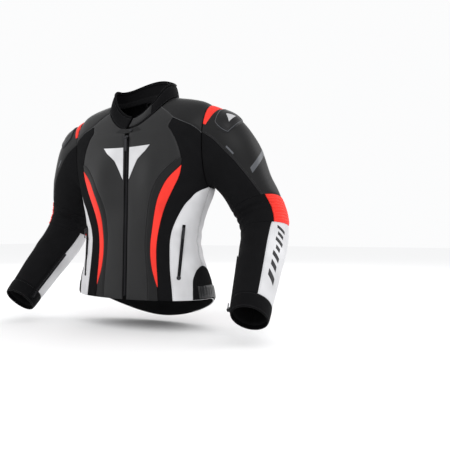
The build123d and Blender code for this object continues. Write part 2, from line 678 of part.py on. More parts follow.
# ---- cuff zip, on the inner side of the forearm ----
CUFF_ZIP_ANGLE = 166.0
CUFF_ZIP_LIFT = 2.0
cuff_top, cuff_bottom = sleeve_point(CUFF_ZIP_ANGLE, 0.83), sleeve_point(CUFF_ZIP_ANGLE, 0.985)
cuff_centre = rows_at(SLEEVE, 0.9 * (len(SLEEVE) - 1))[:3]
cuff_outward = (cuff_top + cuff_bottom) / 2 - cuff_centre
cuff_plane, cuff_length = zip_plane(cuff_bottom, cuff_top, cuff_outward, CUFF_ZIP_LIFT)
cuff_zip = zip_strip(cuff_plane, cuff_length, 12, 4)
cuff_slider_plane = along_zip(cuff_plane, -8, 1.9)
cuff_slider = slider_part(cuff_slider_plane, 0.8)
cuff_pull = pull_part(cuff_slider_plane, 0.8, 16.0)

# ---- files: a left and a right node ----
PAIRED = {
    "front_panel": front_panel,
    "front_stretch": front_stretch,
    "side_panel": side_panel,
    "flank_panel": flank_panel,
    "yoke": yoke,
    "pocket_slider": pocket_slider,
    "pocket_pull": pocket_pull,
    "waist_tab": waist_tab,
    "shoulder_band": shoulder_band,
    "shoulder_cup": shoulder_cup,
    "upper_sleeve": upper_sleeve,
    "sleeve_stretch": sleeve_stretch,
    "reflector": reflector,
    "elbow_accordion": elbow_accordion,
    "forearm_panel": forearm_panel,
    "forearm_stretch": forearm_stretch,
    "cuff": cuff,
    "cuff_zip": cuff_zip,
    "cuff_slider": cuff_slider,
    "cuff_pull": cuff_pull,
}
for name, piece in PAIRED.items():
    piece.part.label = name + "_left"
    export_step(piece.part, f"parts/{name}_left.step")
    with BuildPart() as twin:
        add(piece.part.mirror(Plane.YZ))
    twin.part.label = name + "_right"
    export_step(twin.part, f"parts/{name}_right.step")

# ---- files: one node for both sides ----
JOINED = {
    "princess_strips": princess_strip,
    "front_stripes": front_stripe,
    "waist_insets": waist_inset,
    "back_stretch": back_stretch,
    "back_piping": back_piping,
    "emblem": emblem_half,
    "pocket_zips": pocket_zip,
}
for name, piece in JOINED.items():
    with BuildPart() as pair:
        add(piece.part)
        add(piece.part.mirror(Plane.YZ))
    pair.part.label = name
    export_step(pair.part, f"parts/{name}.step")

# ---- files: pieces on the centre plane ----
SINGLE = {
    "back_centre": back_centre,
    "lumbar_panel": lumbar_panel,
    "back_accordion": back_accordion,
    "collar": collar,
    "collar_trim": collar_trim,
    "collar_tab": collar_tab,
    "torso_lining": torso_lining,
    "trouser_zip": trouser_zip,
    "hanger_loop": hanger_loop,
    "zip_tape": zip_tape,
    "zip_chain": zip_chain,
    "main_slider": main_slider,
    "main_pull": main_pull,
}
for name, piece in SINGLE.items():
    piece.part.label = name
    export_step(piece.part, f"parts/{name}.step")
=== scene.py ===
"""A close-fitting leather riding jacket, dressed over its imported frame.

Shapes are worked out in millimetres in the frame's own axes: +Z up, the wearer faces -Y and the
wearer's left is +X. They are written into the meshes in metres.
"""
import sys

import logging
import math
from collections.abc import Callable, Sequence
from dataclasses import dataclass, field
from enum import Enum
from functools import cache

import bpy
import numpy as np
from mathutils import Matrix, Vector


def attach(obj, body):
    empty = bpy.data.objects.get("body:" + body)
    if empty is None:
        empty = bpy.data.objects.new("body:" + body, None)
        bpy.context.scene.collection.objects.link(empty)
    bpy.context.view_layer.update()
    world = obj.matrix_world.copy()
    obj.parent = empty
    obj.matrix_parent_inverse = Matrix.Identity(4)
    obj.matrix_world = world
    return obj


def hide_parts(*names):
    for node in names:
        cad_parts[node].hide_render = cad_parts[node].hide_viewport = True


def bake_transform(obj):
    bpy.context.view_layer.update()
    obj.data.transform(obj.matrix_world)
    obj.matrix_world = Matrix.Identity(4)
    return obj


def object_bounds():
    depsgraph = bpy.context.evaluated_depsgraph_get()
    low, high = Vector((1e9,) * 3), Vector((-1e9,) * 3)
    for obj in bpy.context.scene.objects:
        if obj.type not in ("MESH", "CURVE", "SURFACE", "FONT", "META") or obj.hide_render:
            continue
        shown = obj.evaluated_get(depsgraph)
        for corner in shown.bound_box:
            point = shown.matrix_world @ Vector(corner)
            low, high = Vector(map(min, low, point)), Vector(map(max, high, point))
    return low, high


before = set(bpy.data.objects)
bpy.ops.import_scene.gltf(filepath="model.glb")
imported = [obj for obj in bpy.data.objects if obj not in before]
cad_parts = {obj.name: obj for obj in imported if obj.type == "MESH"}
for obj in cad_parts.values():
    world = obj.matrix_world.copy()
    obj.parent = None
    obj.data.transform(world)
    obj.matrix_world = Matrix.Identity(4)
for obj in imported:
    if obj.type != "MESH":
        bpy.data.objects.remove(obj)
CAD_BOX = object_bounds()
LOG = logging.getLogger("jacket")

Array = np.ndarray
Seam = Sequence[tuple[float, float]]
Edge = Callable[[Array], Array]
Surface = Callable[[Array, Array, float], tuple[Array, Array]]

MM = 0.001
LEATHER = 1.6
STRETCH = 1.3
LINING_DEPTH = 3.4
SLEEVE_LINING_DEPTH = 2.6
ARMHOLE_X = 182.0
SLEEVE_GAP = 0.8
ELBOW = np.array([288.8, 54.0, -313.0])
ARMPIT_LEVEL = 4.06
UPPER_JOIN = 0.45  # distance along a sleeve where its two cloth lengths meet
ELBOW_REACH = 45.0  # how far each way from the elbow the elbow bend's two points lie


class Side(Enum):
    """Which half of the jacket a piece is on, as the sign of its X."""

    LEFT = 1
    RIGHT = -1

    @property
    def word(self) -> str:
        """The side's name in lower case."""
        return self.name.lower()


# ---------------------------------------------------------------- forms
def rows_at(table: Array, level: Array) -> Array:
    """Rows of a table at fractional row numbers, along a smooth curve through them all.

    The curve is a cubic Hermite one whose slope at a row is half the step between its neighbours.

    Args:
        table: one row per ring or point.
        level: fractional row numbers, of any shape.

    Returns:
        The rows, with the shape of level and one more axis.
    """
    level = np.asarray(level, float)
    first = np.clip(np.floor(level).astype(int), 0, len(table) - 2)
    t = (level - first)[..., None]
    before, here = table[np.maximum(first - 1, 0)], table[first]
    there, after = table[first + 1], table[np.minimum(first + 2, len(table) - 1)]
    slope_here, slope_there = (there - before) / 2, (after - here) / 2
    return ((2 * t**3 - 3 * t**2 + 1) * here + (t**3 - 2 * t**2 + t) * slope_here
            + (3 * t**2 - 2 * t**3) * there + (t**3 - t**2) * slope_there)


def seam(points: Seam, level: Array) -> Array:
    """Degrees of a seam at each level, along a smooth curve through its (level, degrees) points.

    Args:
        points: level and angle of each point of the seam.
        level: where to read it.

    Returns:
        the angle, in degrees, at every level.
    """
    at, angle = np.array(points, float).T
    slope = np.gradient(angle, at)
    level = np.clip(level, at[0], at[-1])
    i = np.clip(np.searchsorted(at, level) - 1, 0, len(at) - 2)
    step = at[i + 1] - at[i]
    t = (level - at[i]) / step
    return ((2 * t**3 - 3 * t**2 + 1) * angle[i] + (t**3 - 2 * t**2 + t) * step * slope[i]
            + (3 * t**2 - 2 * t**3) * angle[i + 1] + (t**3 - t**2) * step * slope[i + 1])


def bump(x: Array, centre: float, width: float) -> Array:
    """A bell curve: exp of minus the square of the distance from centre over width."""
    return np.exp(-(((np.asarray(x, float) - centre) / width) ** 2))


def smooth(x: Array) -> Array:
    """The smooth step 3x^2 - 2x^3 of x kept from 0 to 1."""
    x = np.clip(x, 0, 1)
    return x * x * (3 - 2 * x)


@dataclass(frozen=True)
class BodyForm:
    """The body: rings from hem to neck, each a squared ellipse whose height changes round it."""

    rings: Array = field(default_factory=lambda: np.array([
        [-502, -498, -560, 184, -6, 84, 2.4],
        [-455, -455, -470, 176, -10, 76, 2.4],
        [-370, -370, -375, 156, -16, 60, 2.3],
        [-300, -305, -305, 164, -10, 72, 2.4],
        [-232, -243, -240, 181, -2, 90, 2.7],
        [-165, -165, -165, 198, 2, 100, 2.8],
        [-128, -92, -98, 200, 3, 96, 2.6],
        [-112, -42, -36, 174, 4, 78, 2.2],
        [-98, -20, -1, 90, -4, 58, 2.1],
    ], float))
    centre_y: float = -79.2
    lean: float = 0.0295
    neck: float = 8.0

    def point(self, angle: Array, level: Array) -> Array:
        """Points of the outer surface, from degrees round from the front centre and ring level.

        Args:
            angle: degrees from the front centre.
            level: rows up from the hem.

        Returns:
            points, in millimetres.
        """
        angle, level = np.broadcast_arrays(np.radians(angle), np.asarray(level, float))
        row = rows_at(self.rings, level)
        front_z, side_z, back_z, half_width, mid_y, back_y, square = [row[..., k] for k in range(7)]
        front_y = self.centre_y + self.lean * front_z + 4 * np.clip(level - 7, 0, 1) ** 2
        c, s = np.cos(angle), np.sin(angle)
        r = (np.abs(c) ** square + np.abs(s) ** square) ** (-1 / square)
        front = c > 0
        x = half_width * r * s
        y = mid_y - np.where(front, mid_y - front_y, back_y - mid_y) * r * c
        z = side_z + np.where(front, front_z - side_z, back_z - side_z) * c * c
        bust = 13 * bump(np.abs(x), 74, 40) * bump(z, -222, 58) * front
        blade = 6 * bump(np.abs(x), 75, 50) * bump(z, -110, 60) * ~front
        return np.stack([x, y - bust + blade, z], -1)

    def creases(self, angle: Array, level: Array, phase: float) -> Array:
        """Soft folds of worn leather, in millimetres outward.

        Slanting waves at the waist and under the arms, and a slow uneven swell everywhere.

        Args:
            angle: degrees from the front centre.
            level: rows up from the hem.
            phase: shift of the creases.

        Returns:
            the lift, in millimetres.
        """
        angle, level = np.broadcast_arrays(np.asarray(angle, float), np.asarray(level, float))
        fold = np.abs((angle + 180) % 360 - 180)
        waist = bump(fold, 88, 34) * bump(level, 2.0, 0.75)
        lift = 1.1 * waist * np.sin(15 * level + 0.055 * fold + phase)
        under = bump(fold, 78, 20) * bump(level, 3.9, 0.6)
        lift = lift + 0.9 * under * np.sin(11 * level + 0.16 * fold - phase)
        chest = bump(fold, 46, 10) * bump(level, 5.6, 0.9)
        lift = lift + 0.8 * chest * np.sin(7 * level - 0.22 * fold + 2 * phase)
        back = bump(fold, 180, 60) * bump(level, 2.3, 0.9)
        lift = lift + 0.8 * back * np.sin(12 * level + 0.9 * np.cos(np.radians(3 * fold)))
        swell = np.sin(0.11 * fold + 1.7 * level) * np.sin(2.3 * level - 0.05 * fold + 0.6)
        return lift + 0.55 * swell

    def zip_edge(self, level: Array, half: float) -> Array:
        """Degrees at which the surface is half a zip's width from the centre plane."""
        return np.degrees(np.arcsin(half / rows_at(self.rings, level)[..., 3]))

    def armhole(self, level: Array, back: bool = False) -> Array:
        """Degrees at which the surface reaches the armhole plane, or 90 where it never does.

        Args:
            level: rows up from the hem.
            back: whether the back edge is asked for.

        Returns:
            the angle of the armhole's edge, in degrees.
        """
        level = np.asarray(level, float)
        low, high = np.full(level.shape, 30.0), np.full(level.shape, 90.0)
        for _ in range(40):
            mid = (low + high) / 2
            outside = self.point(180 - mid if back else mid, level)[..., 0] > ARMHOLE_X
            high, low = np.where(outside, mid, high), np.where(outside, low, mid)
        return 180 - high if back else high

    def armhole_levels(self) -> tuple[float, float]:
        """The lowest and highest level at which the surface reaches the armhole plane.

        Returns:
            the lowest and the highest level.
        """
        level = np.linspace(3.6, 7.9, 1200)
        reached = level[self.point(90, level)[..., 0] > ARMHOLE_X]
        return float(reached[0]), float(reached[-1])

    def armhole_ring(self) -> Array:
        """Points of the armhole seam, up its front edge and down its back one.

        Returns:
            the points round it, in millimetres.
        """
        level = np.linspace(*self.armhole_levels(), 300)
        front, back = self.point(self.armhole(level), level), self.point(self.armhole(level, True), level)
        return np.concatenate([front, back[::-1]])


BODY = BodyForm()


@dataclass(frozen=True)
class SleeveForm:
    """The left sleeve: tilted elliptic rings that fan round the armpit, then follow the bent arm."""

    rings: Array = field(default_factory=lambda: np.array([
        [182, 8, -139, 101, 60, 0, 0],
        [211, 13, -156, 88, 62, 18, 0],
        [233, 20, -184, 74, 62, 38.5, 3],
        [248.5, 31, -217, 63, 62, 60, 8],
        [270, 45, -268, 58, 59, 66, 6],
        [288, 54, -313, 56, 56, 74, -18],
        [300, 34, -362, 53, 55, 80, -34],
        [310, -26, -428, 48, 50, 82, -42],
        [324, -109, -521, 39, 41, 83, -43],
    ], float))
    ring: Array = field(default_factory=BODY.armhole_ring)
    settle: float = 0.22

    def axes(self, row: Array) -> tuple[Array, Array, Array]:
        """Outward, forward and along directions of rings given as table rows.

        Args:
            row: rows along the sleeve.

        Returns:
            the three directions of each row, each one millimetre long.
        """
        tilt, turn = np.radians(row[..., 5]), np.radians(row[..., 6])
        zero = 0 * tilt
        out = np.stack([np.sin(tilt), zero, np.cos(tilt)], -1)
        down = np.stack([np.cos(tilt), zero, -np.sin(tilt)], -1)
        ahead = np.stack([zero, zero - 1, zero], -1)
        along = down * np.cos(turn)[..., None] - ahead * np.sin(turn)[..., None]
        forward = ahead * np.cos(turn)[..., None] + down * np.sin(turn)[..., None]
        return out, forward, along

    def row(self, t: Array) -> Array:
        """Table rows at distances along, 0 at the armhole and 1 at the cuff."""
        return rows_at(self.rings, np.asarray(t, float) * (len(self.rings) - 1))

    def armhole(self, angle: Array) -> Array:
        """Points of the armhole seam, by degrees from its top towards the front.

        Args:
            angle: degrees round the sleeve.

        Returns:
            points, in millimetres.
        """
        x, y, z, up, ahead = self.rings[0, :5]
        turn = np.degrees(np.arctan2((y - self.ring[:, 1]) / ahead, (self.ring[:, 2] - z) / up))
        order = np.argsort(turn)
        wrapped = (np.asarray(angle, float) + 180) % 360 - 180
        ring_y = np.interp(wrapped, turn[order], self.ring[order, 1], period=360)
        ring_z = np.interp(wrapped, turn[order], self.ring[order, 2], period=360)
        return np.stack([0 * ring_y + ARMHOLE_X, ring_y, ring_z], -1)

    def point(self, angle: Array, t: Array, lift: Array | float = 0.0) -> Array:
        """Points of the outer surface, from degrees from outward towards the front and distance along.

        Args:
            angle: degrees round the sleeve.
            t: share of its length.
            lift: how far off the sleeve.

        Returns:
            points, in millimetres.
        """
        angle, t = np.broadcast_arrays(np.asarray(angle, float), np.asarray(t, float))
        row = self.row(t)
        lift = np.asarray(lift, float)[..., None]
        out, forward, _ = self.axes(row)
        c, s = np.cos(np.radians(angle))[..., None], np.sin(np.radians(angle))[..., None]
        point = row[..., :3] + (row[..., 3:4] + lift) * c * out + (row[..., 4:5] + lift) * s * forward
        first = self.rings[0]
        circle = first[:3] + first[3] * c * [0, 0, 1] + first[4] * s * [0, -1, 0]
        blend = smooth(1 - t / self.settle)[..., None]
        return point + (self.armhole(angle) - circle) * blend + [SLEEVE_GAP, 0, 0]

    def creases(self, angle: Array, t: Array, phase: float) -> Array:
        """Folds of the sleeve, in millimetres outward.

        Deep pleats across the inside of the elbow, long slanting pulls on the upper arm and
        shallow rings above the cuff.

        Args:
            angle: degrees round the sleeve.
            t: share of its length.
            phase: shift of the creases.

        Returns:
            the lift, in millimetres.
        """
        angle, t = np.broadcast_arrays(np.asarray(angle, float), np.asarray(t, float))
        fold = (angle + 180) % 360 - 180
        inner = (1 + np.cos(np.radians(fold - 118))) / 2
        pleats = np.sin(105 * t + 0.9 * np.sin(np.radians(fold)) + phase)
        lift = 2.1 * inner**2 * bump(t, 0.62, 0.085) * pleats
        pull = 1.3 * bump(t, 0.33, 0.17) * np.sin(26 * t + np.radians(1.6 * fold) + 0.5 + phase)
        lift = lift + pull * smooth(t / 0.1)
        rings = np.sin(70 * t - np.radians(fold) * 1.4 + phase)
        cuff = 0.8 * bump(t, 0.86, 0.07) * (0.35 + 0.65 * inner) * rings
        behind = (1 + np.cos(np.radians(fold + 70))) / 2
        strain = 1.1 * behind * bump(t, 0.47, 0.1) * np.sin(38 * t - np.radians(fold) * 1.8 - phase)
        return (lift + cuff + strain) * smooth(t / 0.04)


SLEEVE = SleeveForm()


@dataclass(frozen=True)
class CollarForm:
    """The stand collar, which leans in from the neck seam and rises towards the nape."""

    lean_in: float = 0.11
    height: float = 34.0

    def point(self, angle: Array, rise: Array) -> Array:
        """Points of the outer surface, from degrees round from the front, and 0 at neck to 1 at top.

        Args:
            angle: degrees from the front centre.
            rise: share of its height.

        Returns:
            points, in millimetres.
        """
        angle, rise = np.broadcast_arrays(np.asarray(angle, float), np.asarray(rise, float))
        base = BODY.point(angle, BODY.neck)
        c = np.cos(np.radians(angle))
        ahead = c > 0
        x = base[..., 0] * (1 - self.lean_in * rise)
        y = base[..., 1] + np.where(ahead, 26, 8) * c * c * rise
        z = base[..., 2] + (self.height + np.where(ahead, -1, 10) * c * c) * rise
        return np.stack([x, y, z], -1)


COLLAR = CollarForm()


# ---------------------------------------------------------------- seams of the left half
PRINCESS = [(0, 19.5), (1, 20), (2, 20), (2.65, 20.5), (3.35, 22), (3.85, 25), (4.3, 29), (4.65, 34.5),
            (4.85, 39)]
STRIPE_INNER = [(0.75, 27.8), (1.4, 24.5), (2.4, 26), (3.1, 27.5), (3.75, 30.5), (4.3, 35.5), (4.62, 41.6)]
STRIPE_OUTER = [(0.75, 28.2), (1.4, 29), (2.2, 31.5), (2.8, 33.5), (3.3, 36), (3.9, 39.5), (4.35, 42),
                (4.62, 42)]
CHEST_EDGE = [(4.62, 42), (4.98, 40), (5.43, 37), (6.05, 34), (6.75, 34.5), (7.08, 40.5)]
YOKE_FRONT = [(5.73, 57), (6, 52), (6.5, 45), (7.12, 42.5), (7.68, 50), (8, 54)]
SIDE_FRONT = [(0, 39.5), (0.6, 39.5), (1.23, 40), (1.83, 43), (2.45, 45.5), (3.03, 50), (3.55, 57),
              (3.93, 70), (4.06, 84)]
YOKE_BACK = [(5.98, 121.4), (6.43, 137.5), (6.73, 147.5), (7.2, 152), (7.6, 148), (8, 140)]
BACK_EDGE = [(5.15, 147), (5.6, 151), (6.2, 156), (6.6, 158), (7, 155)]
CENTRE_BACK = [(1.86, 150.9), (2.48, 152.2), (3.08, 152.2), (3.88, 151.8), (4.55, 150), (5.15, 147.6),
               (5.6, 151), (6.2, 156), (6.6, 158), (7, 156.5), (7.4, 152), (8, 141)]
PIPING_INNER = [(2.1, 151), (2.48, 152.2), (3.08, 152.2), (3.88, 151.8), (4.55, 150), (5.15, 147)]
PIPING_OUTER = [(2.1, 150.2), (2.48, 150.2), (3.08, 149.0), (3.88, 148.2), (4.48, 146.2), (5.02, 144.5)]
FLANK_BACK = [(0, 151.6), (1.1, 152), (2.1, 150.2), (2.48, 150.2), (3.08, 149.0), (3.88, 148.2),
              (4.48, 146.2), (5.02, 144.5)]
FLANK_TOP = [(4.05, 88), (4.03, 107), (4.17, 125.5), (4.55, 135.5), (5.02, 144.5)]
SIDE_SEAM = 88.0
LUMBAR_TOP = 1.86
STRIPE_TOP = 4.62
CHEST_CORNER = 4.85  # level at which the princess seam runs into the chest seam
YOKE_CORNER = 7.08  # level at which the chest seam runs into the yoke seam
YOKE_ARM = 5.73  # level at which the yoke's front seam leaves the armhole
SLEEVE_FRONT = [(0, 77), (0.217, 79), (0.317, 72), (0.407, 62), (0.503, 52), (0.6, 42)]
SLEEVE_BACK = -110.0
FOREARM_FRONT = [(0.6, 40), (0.67, 42), (0.74, 51), (0.907, 51), (1, 50)]
FOREARM_BACK = -190.0
CUFF_START = 0.957


def fixed(degrees: float) -> Edge:
    """An edge that stays at one angle."""
    return lambda level: 0 * np.asarray(level, float) + degrees


def along_seam(points: Seam, shift: float = 0.0) -> Edge:
    """An edge that follows a seam, moved by some degrees."""
    return lambda level: seam(points, level) + shift


def front_edge(level: Array) -> Array:
    """Degrees of the centre front panel's outer edge."""
    low = np.where(level < CHEST_CORNER, seam(PRINCESS, level), seam(CHEST_EDGE, level))
    return np.where(level < YOKE_CORNER, low, seam(YOKE_FRONT, level))


def stretch_inner(level: Array) -> Array:
    """Degrees of the front stretch panel's inner edge."""
    return np.where(level < STRIPE_TOP, seam(STRIPE_OUTER, level), seam(CHEST_EDGE, level))


def stretch_outer(level: Array) -> Array:
    """Degrees of the front stretch panel's outer edge: side panel, armhole, then yoke."""
    return np.where(level < ARMPIT_LEVEL, seam(SIDE_FRONT, level),
                    np.where(level < YOKE_ARM, BODY.armhole(level), seam(YOKE_FRONT, level)))


def back_stretch_outer(level: Array) -> Array:
    """Degrees of the back stretch panel's armhole edge, then the yoke seam."""
    return np.where(level < 5.98, BODY.armhole(level, True), seam(YOKE_BACK, level))


def back_stretch_inner(level: Array) -> Array:
    """Degrees of the back stretch panel's inner edge: flank panel, then centre back."""
    rise = np.interp(level, [4.03, 4.17, 4.55, 5.02, 5.15], [107, 125.5, 135.5, 144.5, 147])
    return np.where(level < 5.15, rise, seam(BACK_EDGE, level))


def strip(first: Edge, second: Edge, low: float, high: float, lift: float = 0.0) -> Surface:
    """A body surface between two seams, from one level to another.

    Across, the angle runs evenly from one seam to the other; up, the level runs evenly.

    Args:
        first: degrees of the edge nearer the front centre, at a level.
        second: degrees of the other edge.
        low: level of the bottom edge.
        high: level of the top edge.
        lift: how far the whole strip stands off the body, in millimetres.

    Returns:
        A function of two shares from 0 to 1 that gives points and outward lift.
    """
    def surface(a: Array, b: Array, phase: float) -> tuple[Array, Array]:
        """Points and outward lift at two shares, for one phase of the folds.

        Args:
            a: shares across the panel.
            b: shares up the panel.
            phase: shift of its creases.

        Returns:
            the points there, and how far the creases lift each.
        """
        a, b = np.broadcast_arrays(a, b)
        level = low + (high - low) * b
        angle = first(level) * (1 - a) + second(level) * a
        return BODY.point(angle, level), BODY.creases(angle, level, phase) + lift
    return surface


def patch(left: Seam, right: Seam, bottom: Seam, top: Seam, lift: float = 0.0) -> Surface:
    """A body surface inside four edges, each a list of (level, degrees).

    The inside is the sum of the two ways of joining opposite edges, less the join of the corners.

    Args:
        left: level and angle of points up its left edge.
        right: the same up its right edge.
        bottom: the same along its bottom edge.
        top: the same along its top edge.
        lift: how far it stands off the body.

    Returns:
        the surface between the four edges.
    """
    edges = [np.array(edge, float) for edge in (left, right, bottom, top)]

    def surface(a: Array, b: Array, phase: float) -> tuple[Array, Array]:
        """Points and outward lift at two shares, for one phase of the folds.

        Args:
            a: shares across the panel.
            b: shares up the panel.
            phase: shift of its creases.

        Returns:
            the points there, and how far the creases lift each.
        """
        a, b = np.broadcast_arrays(a, b)
        west, east = (rows_at(edge, b * (len(edge) - 1)) for edge in edges[:2])
        south, north = (rows_at(edge, a * (len(edge) - 1)) for edge in edges[2:])
        u, v = a[..., None], b[..., None]
        corners = ((1 - u) * ((1 - v) * edges[0][0] + v * edges[0][-1])
                   + u * ((1 - v) * edges[1][0] + v * edges[1][-1]))
        inside = (1 - u) * west + u * east + (1 - v) * south + v * north - corners
        angle, level = inside[..., 1], inside[..., 0]
        return BODY.point(angle, level), BODY.creases(angle, level, phase) + lift
    return surface


def sleeve_patch(first: Edge, second: Edge, low: Edge, high: Edge, lift: float = 0.0) -> Surface:
    """A sleeve surface between two angles and two distances along.

    Args:
        first: degrees of one long edge, at a distance along.
        second: degrees of the other long edge.
        low: distance along of the upper end, at an angle.
        high: distance along of the lower end, at an angle.
        lift: how far the whole patch stands off the sleeve, in millimetres.

    Returns:
        A function of two shares from 0 to 1 that gives points and outward lift.
    """
    def surface(a: Array, b: Array, phase: float) -> tuple[Array, Array]:
        """Points and outward lift at two shares, for one phase of the folds.

        Args:
            a: shares across the panel.
            b: shares up the panel.
            phase: shift of its creases.

        Returns:
            the points there, and how far the creases lift each.
        """
        a, b = np.broadcast_arrays(a, b)
        middle = first(0.5 + 0 * a) * (1 - a) + second(0.5 + 0 * a) * a
        t = low(middle) * (1 - b) + high(middle) * b
        angle = first(t) * (1 - a) + second(t) * a
        t = low(angle) * (1 - b) + high(angle) * b
        return SLEEVE.point(angle, t), SLEEVE.creases(angle, t, phase) + lift
    return surface


def collar_patch(start: float, end: float, low: float, high: float, lift: float = 0.0) -> Surface:
    """A collar surface between two angles and two heights.

    Args:
        start: degrees at which it begins.
        end: degrees at which it ends.
        low: share of the collar's height at its foot.
        high: the same at its top.
        lift: how far it stands off the collar.

    Returns:
        the surface on the collar.
    """
    def surface(a: Array, b: Array, phase: float) -> tuple[Array, Array]:
        """Points and outward lift at two shares, for one phase of the folds.

        Args:
            a: shares across the panel.
            b: shares up the panel.
            phase: not used.

        Returns:
            the points there, and how far the creases lift each.
        """
        a, b = np.broadcast_arrays(a, b)
        angle, rise = start + (end - start) * a, low + (high - low) * b
        return COLLAR.point(angle, rise), 0 * a + lift
    return surface


# ---------------------------------------------------------------- finishes
def group_tree(name: str, inputs: dict[str, float | tuple[float, ...]],
               outputs: Sequence[str]) -> bpy.types.NodeTree:
    """A new shader node group with named inputs and float outputs.

    Args:
        name: the group's name.
        inputs: default of each input; three numbers make a vector.
        outputs: names of its outputs.

    Returns:
        The group's tree, with its input and output nodes in place.
    """
    tree = bpy.data.node_groups.new(name, "ShaderNodeTree")
    for key, value in inputs.items():
        kind = "NodeSocketVector" if isinstance(value, tuple) else "NodeSocketFloat"
        tree.interface.new_socket(key, in_out="INPUT", socket_type=kind).default_value = value
    for key in outputs:
        tree.interface.new_socket(key, in_out="OUTPUT", socket_type="NodeSocketFloat")
    tree.nodes.new("NodeGroupInput")
    tree.nodes.new("NodeGroupOutput")
    return tree


class Wiring:
    """Adds nodes to a tree and joins them."""

    def __init__(self, tree: bpy.types.NodeTree) -> None:
        """Remembers the tree."""
        self.tree = tree

    def node(self, kind: str, inputs: dict[str | int, object] | None = None,
             **settings: object) -> bpy.types.Node:
        """A new node.

        Args:
            kind: its type, without the ShaderNode prefix.
            inputs: for each input, a value or an output socket to join to it.
            **settings: the node's own properties.

        Returns:
            The node.
        """
        node = self.tree.nodes.new("ShaderNode" + kind)
        for key, value in settings.items():
            setattr(node, key, value)
        for key, value in (inputs or {}).items():
            if isinstance(value, bpy.types.NodeSocket):
                self.tree.links.new(value, node.inputs[key])
            else:
                node.inputs[key].default_value = value
        return node

    def math(self, operation: str, *values: object) -> bpy.types.NodeSocket:
        """The output of a Math node."""
        return self.node("Math", dict(enumerate(values)), operation=operation).outputs[0]

    def end(self, **values: bpy.types.NodeSocket) -> None:
        """Joins the group's outputs."""
        target = next(n for n in self.tree.nodes if n.type == "GROUP_OUTPUT")
        for key, value in values.items():
            self.tree.links.new(value, target.inputs[key])

    def start(self, key: str) -> bpy.types.NodeSocket:
        """One of the group's inputs."""
        return next(n for n in self.tree.nodes if n.type == "GROUP_INPUT").outputs[key]


def leather_grain() -> bpy.types.NodeTree:
    """Pebbled leather: rounded cells of uneven size with fine wrinkles, and slow blotches of tone.

    Returns:
        the node group, made once.
    """
    tree = group_tree("leather_grain", {"Vector": (0.0, 0.0, 0.0), "Cells": 900.0}, ("Height", "Tone"))
    w = Wiring(tree)
    cells = w.node("TexVoronoi", {"Vector": w.start("Vector"), "Scale": w.start("Cells")},
                   feature="SMOOTH_F1")
    pull = w.node("TexNoise", {"Vector": w.start("Vector"), "Scale": 160.0, "Detail": 3.0})
    slow = w.node("TexNoise", {"Vector": w.start("Vector"), "Scale": 14.0, "Detail": 2.0})
    height = w.math("MULTIPLY_ADD", pull.outputs[0], 0.9, cells.outputs["Distance"])
    w.end(Height=height, Tone=w.math("MULTIPLY_ADD", slow.outputs[0], 0.7, 0.65))
    return tree


def cloth_weave() -> bpy.types.NodeTree:
    """Knitted stretch cloth: crossing sine ridges, one set half a pitch out of step with the other.

    Returns:
        the node group, made once.
    """
    tree = group_tree("cloth_weave", {"Vector": (0.0, 0.0, 0.0), "Pitch": 0.0012}, ("Height", "Tone"))
    w = Wiring(tree)
    parts = w.node("SeparateXYZ", {0: w.start("Vector")})
    turn = w.math("DIVIDE", 2 * math.pi, w.start("Pitch"))
    across = w.math("SINE", w.math("MULTIPLY", parts.outputs[0], turn))
    along = w.math("SINE", w.math("MULTIPLY", parts.outputs[1], turn))
    slow = w.node("TexNoise", {"Vector": w.start("Vector"), "Scale": 30.0, "Detail": 3.0})
    w.end(Height=w.math("MULTIPLY", across, along), Tone=w.math("MULTIPLY_ADD", slow.outputs[0], 0.6, 0.7))
    return tree


def punched_holes() -> bpy.types.NodeTree:
    """Rows of small punched holes, one at each crossing of a square net turned by an eighth.

    Returns:
        the node group, made once.
    """
    sizes = {"Vector": (0.0, 0.0, 0.0), "Pitch": 0.0048, "Radius": 0.0007}
    tree = group_tree("punched_holes", sizes, ("Hole",))
    w = Wiring(tree)
    turned = w.node("VectorRotate", {"Vector": w.start("Vector"), "Angle": math.pi / 4},
                    rotation_type="Z_AXIS")
    parts = w.node("SeparateXYZ", {0: turned.outputs[0]})
    pitch = w.start("Pitch")
    squares = []
    for k in (0, 1):
        share = w.math("SUBTRACT", w.math("FRACT", w.math("DIVIDE", parts.outputs[k], pitch)), 0.5)
        squares.append(w.math("POWER", w.math("MULTIPLY", share, pitch), 2.0))
    distance = w.math("SQRT", w.math("ADD", *squares))
    w.end(Hole=w.math("LESS_THAN", distance, w.start("Radius")))
    return tree


